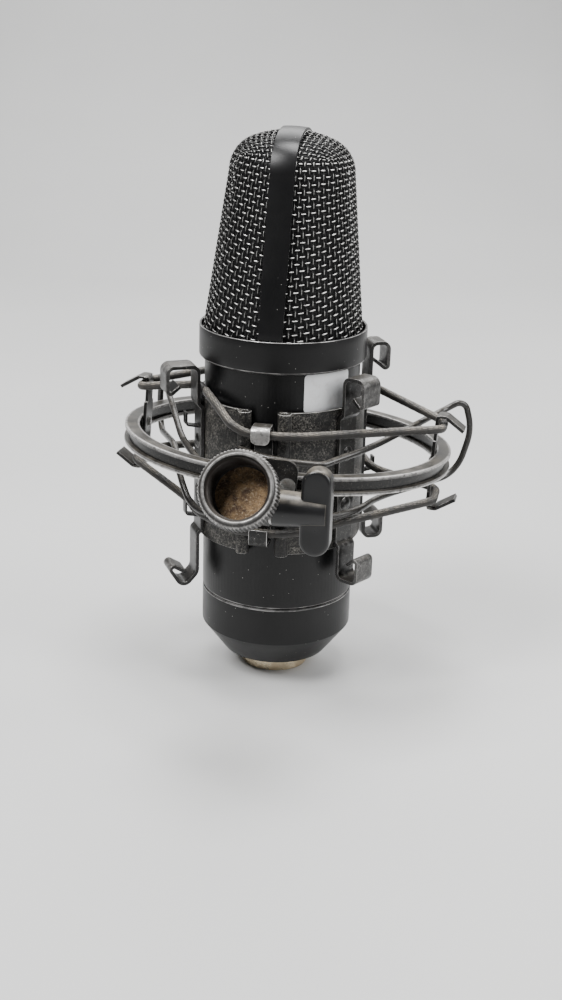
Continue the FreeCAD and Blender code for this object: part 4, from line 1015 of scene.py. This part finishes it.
# Radius, level from the upper face, wear.
RING_OUTLINE = [
    (47.1, 0, 1), (47.33, -0.08, 1), (47.4, -0.3, 1), (47.4, -0.62, 0.2), (47.37, -0.9, 0.35),
    (47.2, -1, 0), (46.1, -1.12, 0), (46.1, -3.88, 0), (47.2, -4, 0), (47.37, -4.1, 0.35),
    (47.4, -4.38, 0.2), (47.4, -4.7, 1), (47.33, -4.92, 1), (47.1, -5, 1), (46.6, -5, 0),
    (43.9, -5, 0), (43.5, -5, 0.9), (43.27, -4.92, 0.9), (43.2, -4.7, 0.6), (43.2, -4.1, 0),
    (43.3, -4, 0.2), (44.5, -3.9, 0), (44.5, -1.1, 0), (43.3, -1, 0.2), (43.2, -0.9, 0),
    (43.2, -0.3, 0.6), (43.27, -0.08, 0.9), (43.5, 0, 0.9), (43.9, 0, 0), (46.6, 0, 0)]
RING_SIDES = 300
RING_CREASE = math.radians(40)


def build_ring():
    """The channelled ring, its four rims rubbed bright."""
    outline = RING_OUTLINE[::-1]
    rings = [np.full(RING_SIDES, radius) for radius, _, _ in outline]
    edges = [np.full(RING_SIDES, float(worn)) for _, _, worn in outline]
    mesh = lathed("hoop_ring_worn", rings, [level for _, level, _ in outline], edges, closed=True)
    mesh.set_sharp_from_angle(angle=RING_CREASE)
    turn = hoop_matrix()
    turn.translation *= MM
    mesh.transform(turn)
    placed(mesh, HOOP, "hoop", ["hoop_ring"])


WIRE_CREASE = math.radians(50)
WIRE_PAINT = 0.2


def thickened(node, material, extra):
    """A CAD node grown a little along its normals."""
    shape = welded_copy(node)
    shape.normal_update()
    moved = [(vert, vert.co + vert.normal * (extra * MM)) for vert in shape.verts]
    for vert, spot in moved:
        vert.co = spot
    mesh = smoothed(shape, node + "_full", WIRE_CREASE)
    placed(mesh, material, body_of(node), [node])


# ---- label

LABEL_LOW = 84.5
LABEL_HIGH = 95.2
LABEL_START = 25.0  # degrees from the front
LABEL_SWEEP = 39.0
LABEL_RADIUS = 22.27
LABEL_THICK = 0.11
LABEL_CORNER = 1.0
LABEL_COLUMNS = 41
LABEL_ROWS = 9
CORNER_ROWS = 7
LABEL_CREASE = math.radians(40)


def label_points(level):
    """The label's rows of points at one level over the tube, shorter at its round corners."""
    half_width = math.radians(LABEL_SWEEP / 2) * LABEL_RADIUS
    half_height = (LABEL_HIGH - LABEL_LOW) / 2
    straight = half_height - LABEL_CORNER
    corner = straight + LABEL_CORNER * np.sin(np.linspace(math.pi / 2, 0, CORNER_ROWS))
    rows = np.concatenate((corner, np.linspace(straight, -straight, LABEL_ROWS)[1:-1],
                           -corner[::-1]))
    points = []
    for row in rows:
        beyond = max(0.0, abs(row) - straight)
        width = half_width - LABEL_CORNER + math.sqrt(max(0.0, LABEL_CORNER ** 2 - beyond ** 2))
        for column in np.linspace(-width, width, LABEL_COLUMNS):
            azimuth = LABEL_START + LABEL_SWEEP / 2 + math.degrees(column / LABEL_RADIUS)
            spot = polar(azimuth, LABEL_RADIUS + level, (LABEL_LOW + LABEL_HIGH) / 2 + row)
            points.append(tuple(Matrix.Rotation(MIC_TURN, 3, "Z") @ spot * MM))
    return points, len(rows)


def build_label():
    """A blank label with rounded corners, wrapped on the tube."""
    columns = LABEL_COLUMNS
    inner, rows = label_points(0.0)
    points = inner + label_points(LABEL_THICK)[0]
    size = rows * columns
    faces = []
    for row in range(rows - 1):
        for column in range(columns - 1):
            here = row * columns + column
            quad = (here, here + 1, here + columns + 1, here + columns)
            faces += [quad, tuple(size + corner for corner in reversed(quad))]
    rim = (list(range(columns))
           + [row * columns + columns - 1 for row in range(1, rows)]
           + [(rows - 1) * columns + column for column in range(columns - 2, -1, -1)]
           + [row * columns for row in range(rows - 2, 0, -1)])
    for here, there in zip(rim, rim[1:] + rim[:1]):
        faces.append((here, there, size + there, size + here))
    shape = bmesh.new()
    shape.from_mesh(mesh_from("label_faces", points, faces))
    bmesh.ops.recalc_face_normals(shape, faces=shape.faces[:])
    mesh = smoothed(shape, "info_label_blank", LABEL_CREASE)
    placed(mesh, LABEL, "mic", ["info_label"])


# ---- stage

FLOOR_HALF = 1.6  # metres, as everything on the stage
FLOOR_NEAR = -0.9
FLOOR_BEND = 0.55
WALL_CURVE = 0.5
WALL_TOP = 1.6
WALL_START = 0.1  # radians of the curve skipped at its foot
FLOOR_ROWS = 8
WALL_ROWS = 14
# Name, place, point it shines at, width, height, watts.
LIGHTS = [
    ("KeyLight", (-0.38, -0.30, 0.70), (0, 0, 0.09), 0.30, 0.30, 9.0),
    ("FillLight", (0.55, -0.20, 0.45), (0, 0, 0.08), 0.25, 0.5, 4.5),
    ("TopLight", (0.05, 0.05, 0.85), (0, 0, 0.10), 0.40, 0.30, 9.0),
    ("BackLight", (0.10, 0.60, 0.55), (0, 0.3, 0.0), 0.9, 0.3, 5.0)]
WORLD_COLOUR = (0.85, 0.87, 0.90, 1)
WORLD_STRENGTH = 0.15


def build_floor():
    """A pale floor that curves up behind."""
    bend = np.linspace(WALL_START, math.pi / 2, WALL_ROWS)
    depth = np.concatenate((np.linspace(FLOOR_NEAR, FLOOR_BEND, FLOOR_ROWS),
                            FLOOR_BEND + WALL_CURVE * np.sin(bend), [FLOOR_BEND + WALL_CURVE]))
    height = np.concatenate((np.zeros(FLOOR_ROWS), WALL_CURVE - WALL_CURVE * np.cos(bend),
                             [WALL_TOP]))
    points = [(side * FLOOR_HALF, far, up) for far, up in zip(depth, height) for side in (-1, 1)]
    faces = [(index, index + 1, index + 3, index + 2) for index in range(0, len(points) - 2, 2)]
    floor = bpy.data.objects.new("StudioFloor", mesh_from("StudioFloor", points, faces))
    bpy.context.scene.collection.objects.link(floor)
    skin = Finish("StudioFloor", Specular_IOR_Level=0.3)
    cloud = skin.noise(120, 4, 0.5)
    skin.colour(skin.mixed(cloud, (0.50, 0.50, 0.495), (0.56, 0.56, 0.555)))
    skin.rough(skin.span(cloud, 0.3, 0.7, 0.42, 0.55))
    floor.data.materials.append(skin.material)


def build_lights():
    """Soft studio light from area lamps and a dim sky."""
    for name, place, aim, wide, tall, power in LIGHTS:
        data = bpy.data.lights.new(name, "AREA")
        data.shape = "RECTANGLE"
        data.size = wide
        data.size_y = tall
        data.energy = power
        light = bpy.data.objects.new(name, data)
        direction = Vector(aim) - Vector(place)
        light.rotation_euler = direction.to_track_quat("-Z", "Y").to_euler()
        light.location = place
        bpy.context.scene.collection.objects.link(light)
    world = bpy.data.worlds.new("Studio")
    world.use_nodes = True
    sky = world.node_tree.nodes["Background"]
    sky.inputs["Color"].default_value = WORLD_COLOUR
    sky.inputs["Strength"].default_value = WORLD_STRENGTH
    bpy.context.scene.world = world


# ---- assembly

# Finish, corner radius, how bare the outermost face is and above what height, nodes.
SOFTENED = [
    (ENAMEL, 0.2, 0, 0, ("base_cone", "body_tube", "head_collar")),
    (BRASS, 0.18, 0, 0, ("xlr_shell",)),
    (GRAIN, 0.2, 0, 0, ("clamp_shell_left", "clamp_shell_right")),
    (STRIP, 0.22, 0.12, 0, ("hook_strip_front_right", "hook_strip_back_right",
                            "hook_strip_front_left", "hook_strip_back_left")),
    (STRIP, 0.22, 0.95, 70, ("hinge_link",)),
    (STRIP, 0.22, 0, 0, ("hoop_hook_left", "hoop_hook_right", "swivel_bracket",
                         "strip_rivets_left", "strip_rivets_right")),
    (STEEL, 0.08, 0, 0, ("hoop_hook_rivets", "bracket_screws", "swivel_bolt", "swivel_washers",
                         "hinge_pins")),
    (KNOB, 0.3, 0, 0, ("wing_knob",)),
]
FINISHED = [
    (BLACK, ("xlr_insert", "capsule_saddle", "board_parts")),
    (GOLD, ("xlr_pins", "capsule_housing", "capsule_diaphragms")),
    (STEEL, ("grille_base_ring", "capsule_screws", "chassis_rails", "chassis_bottom_plate",
             "chassis_top_plate", "chassis_screws", "output_transformer")),
    (BOARD, ("circuit_board",)),
    (FELT, ("clamp_pad_left", "clamp_pad_right")),
    (DISC, ("adapter_disc",)),
]

build_camera()
build_floor()
build_lights()
build_head()
build_elastics()
mouth_place, pivot_place = adapter_matrices()
build_barrel(mouth_place)
build_thread(mouth_place)
build_tongue(pivot_place)
build_ring()
build_label()
for node_name in ("squeeze_wire_left", "squeeze_wire_right"):
    thickened(node_name, GLOSS, WIRE_PAINT)
for surface_finish, corner_radius, bare_share, bare_height, nodes in SOFTENED:
    for node_name in nodes:
        softened(node_name, surface_finish, corner_radius, bare=bare_share,
                 bare_above=bare_height)
for surface_finish, nodes in FINISHED:
    for node_name in nodes:
        finished_node(node_name, surface_finish)
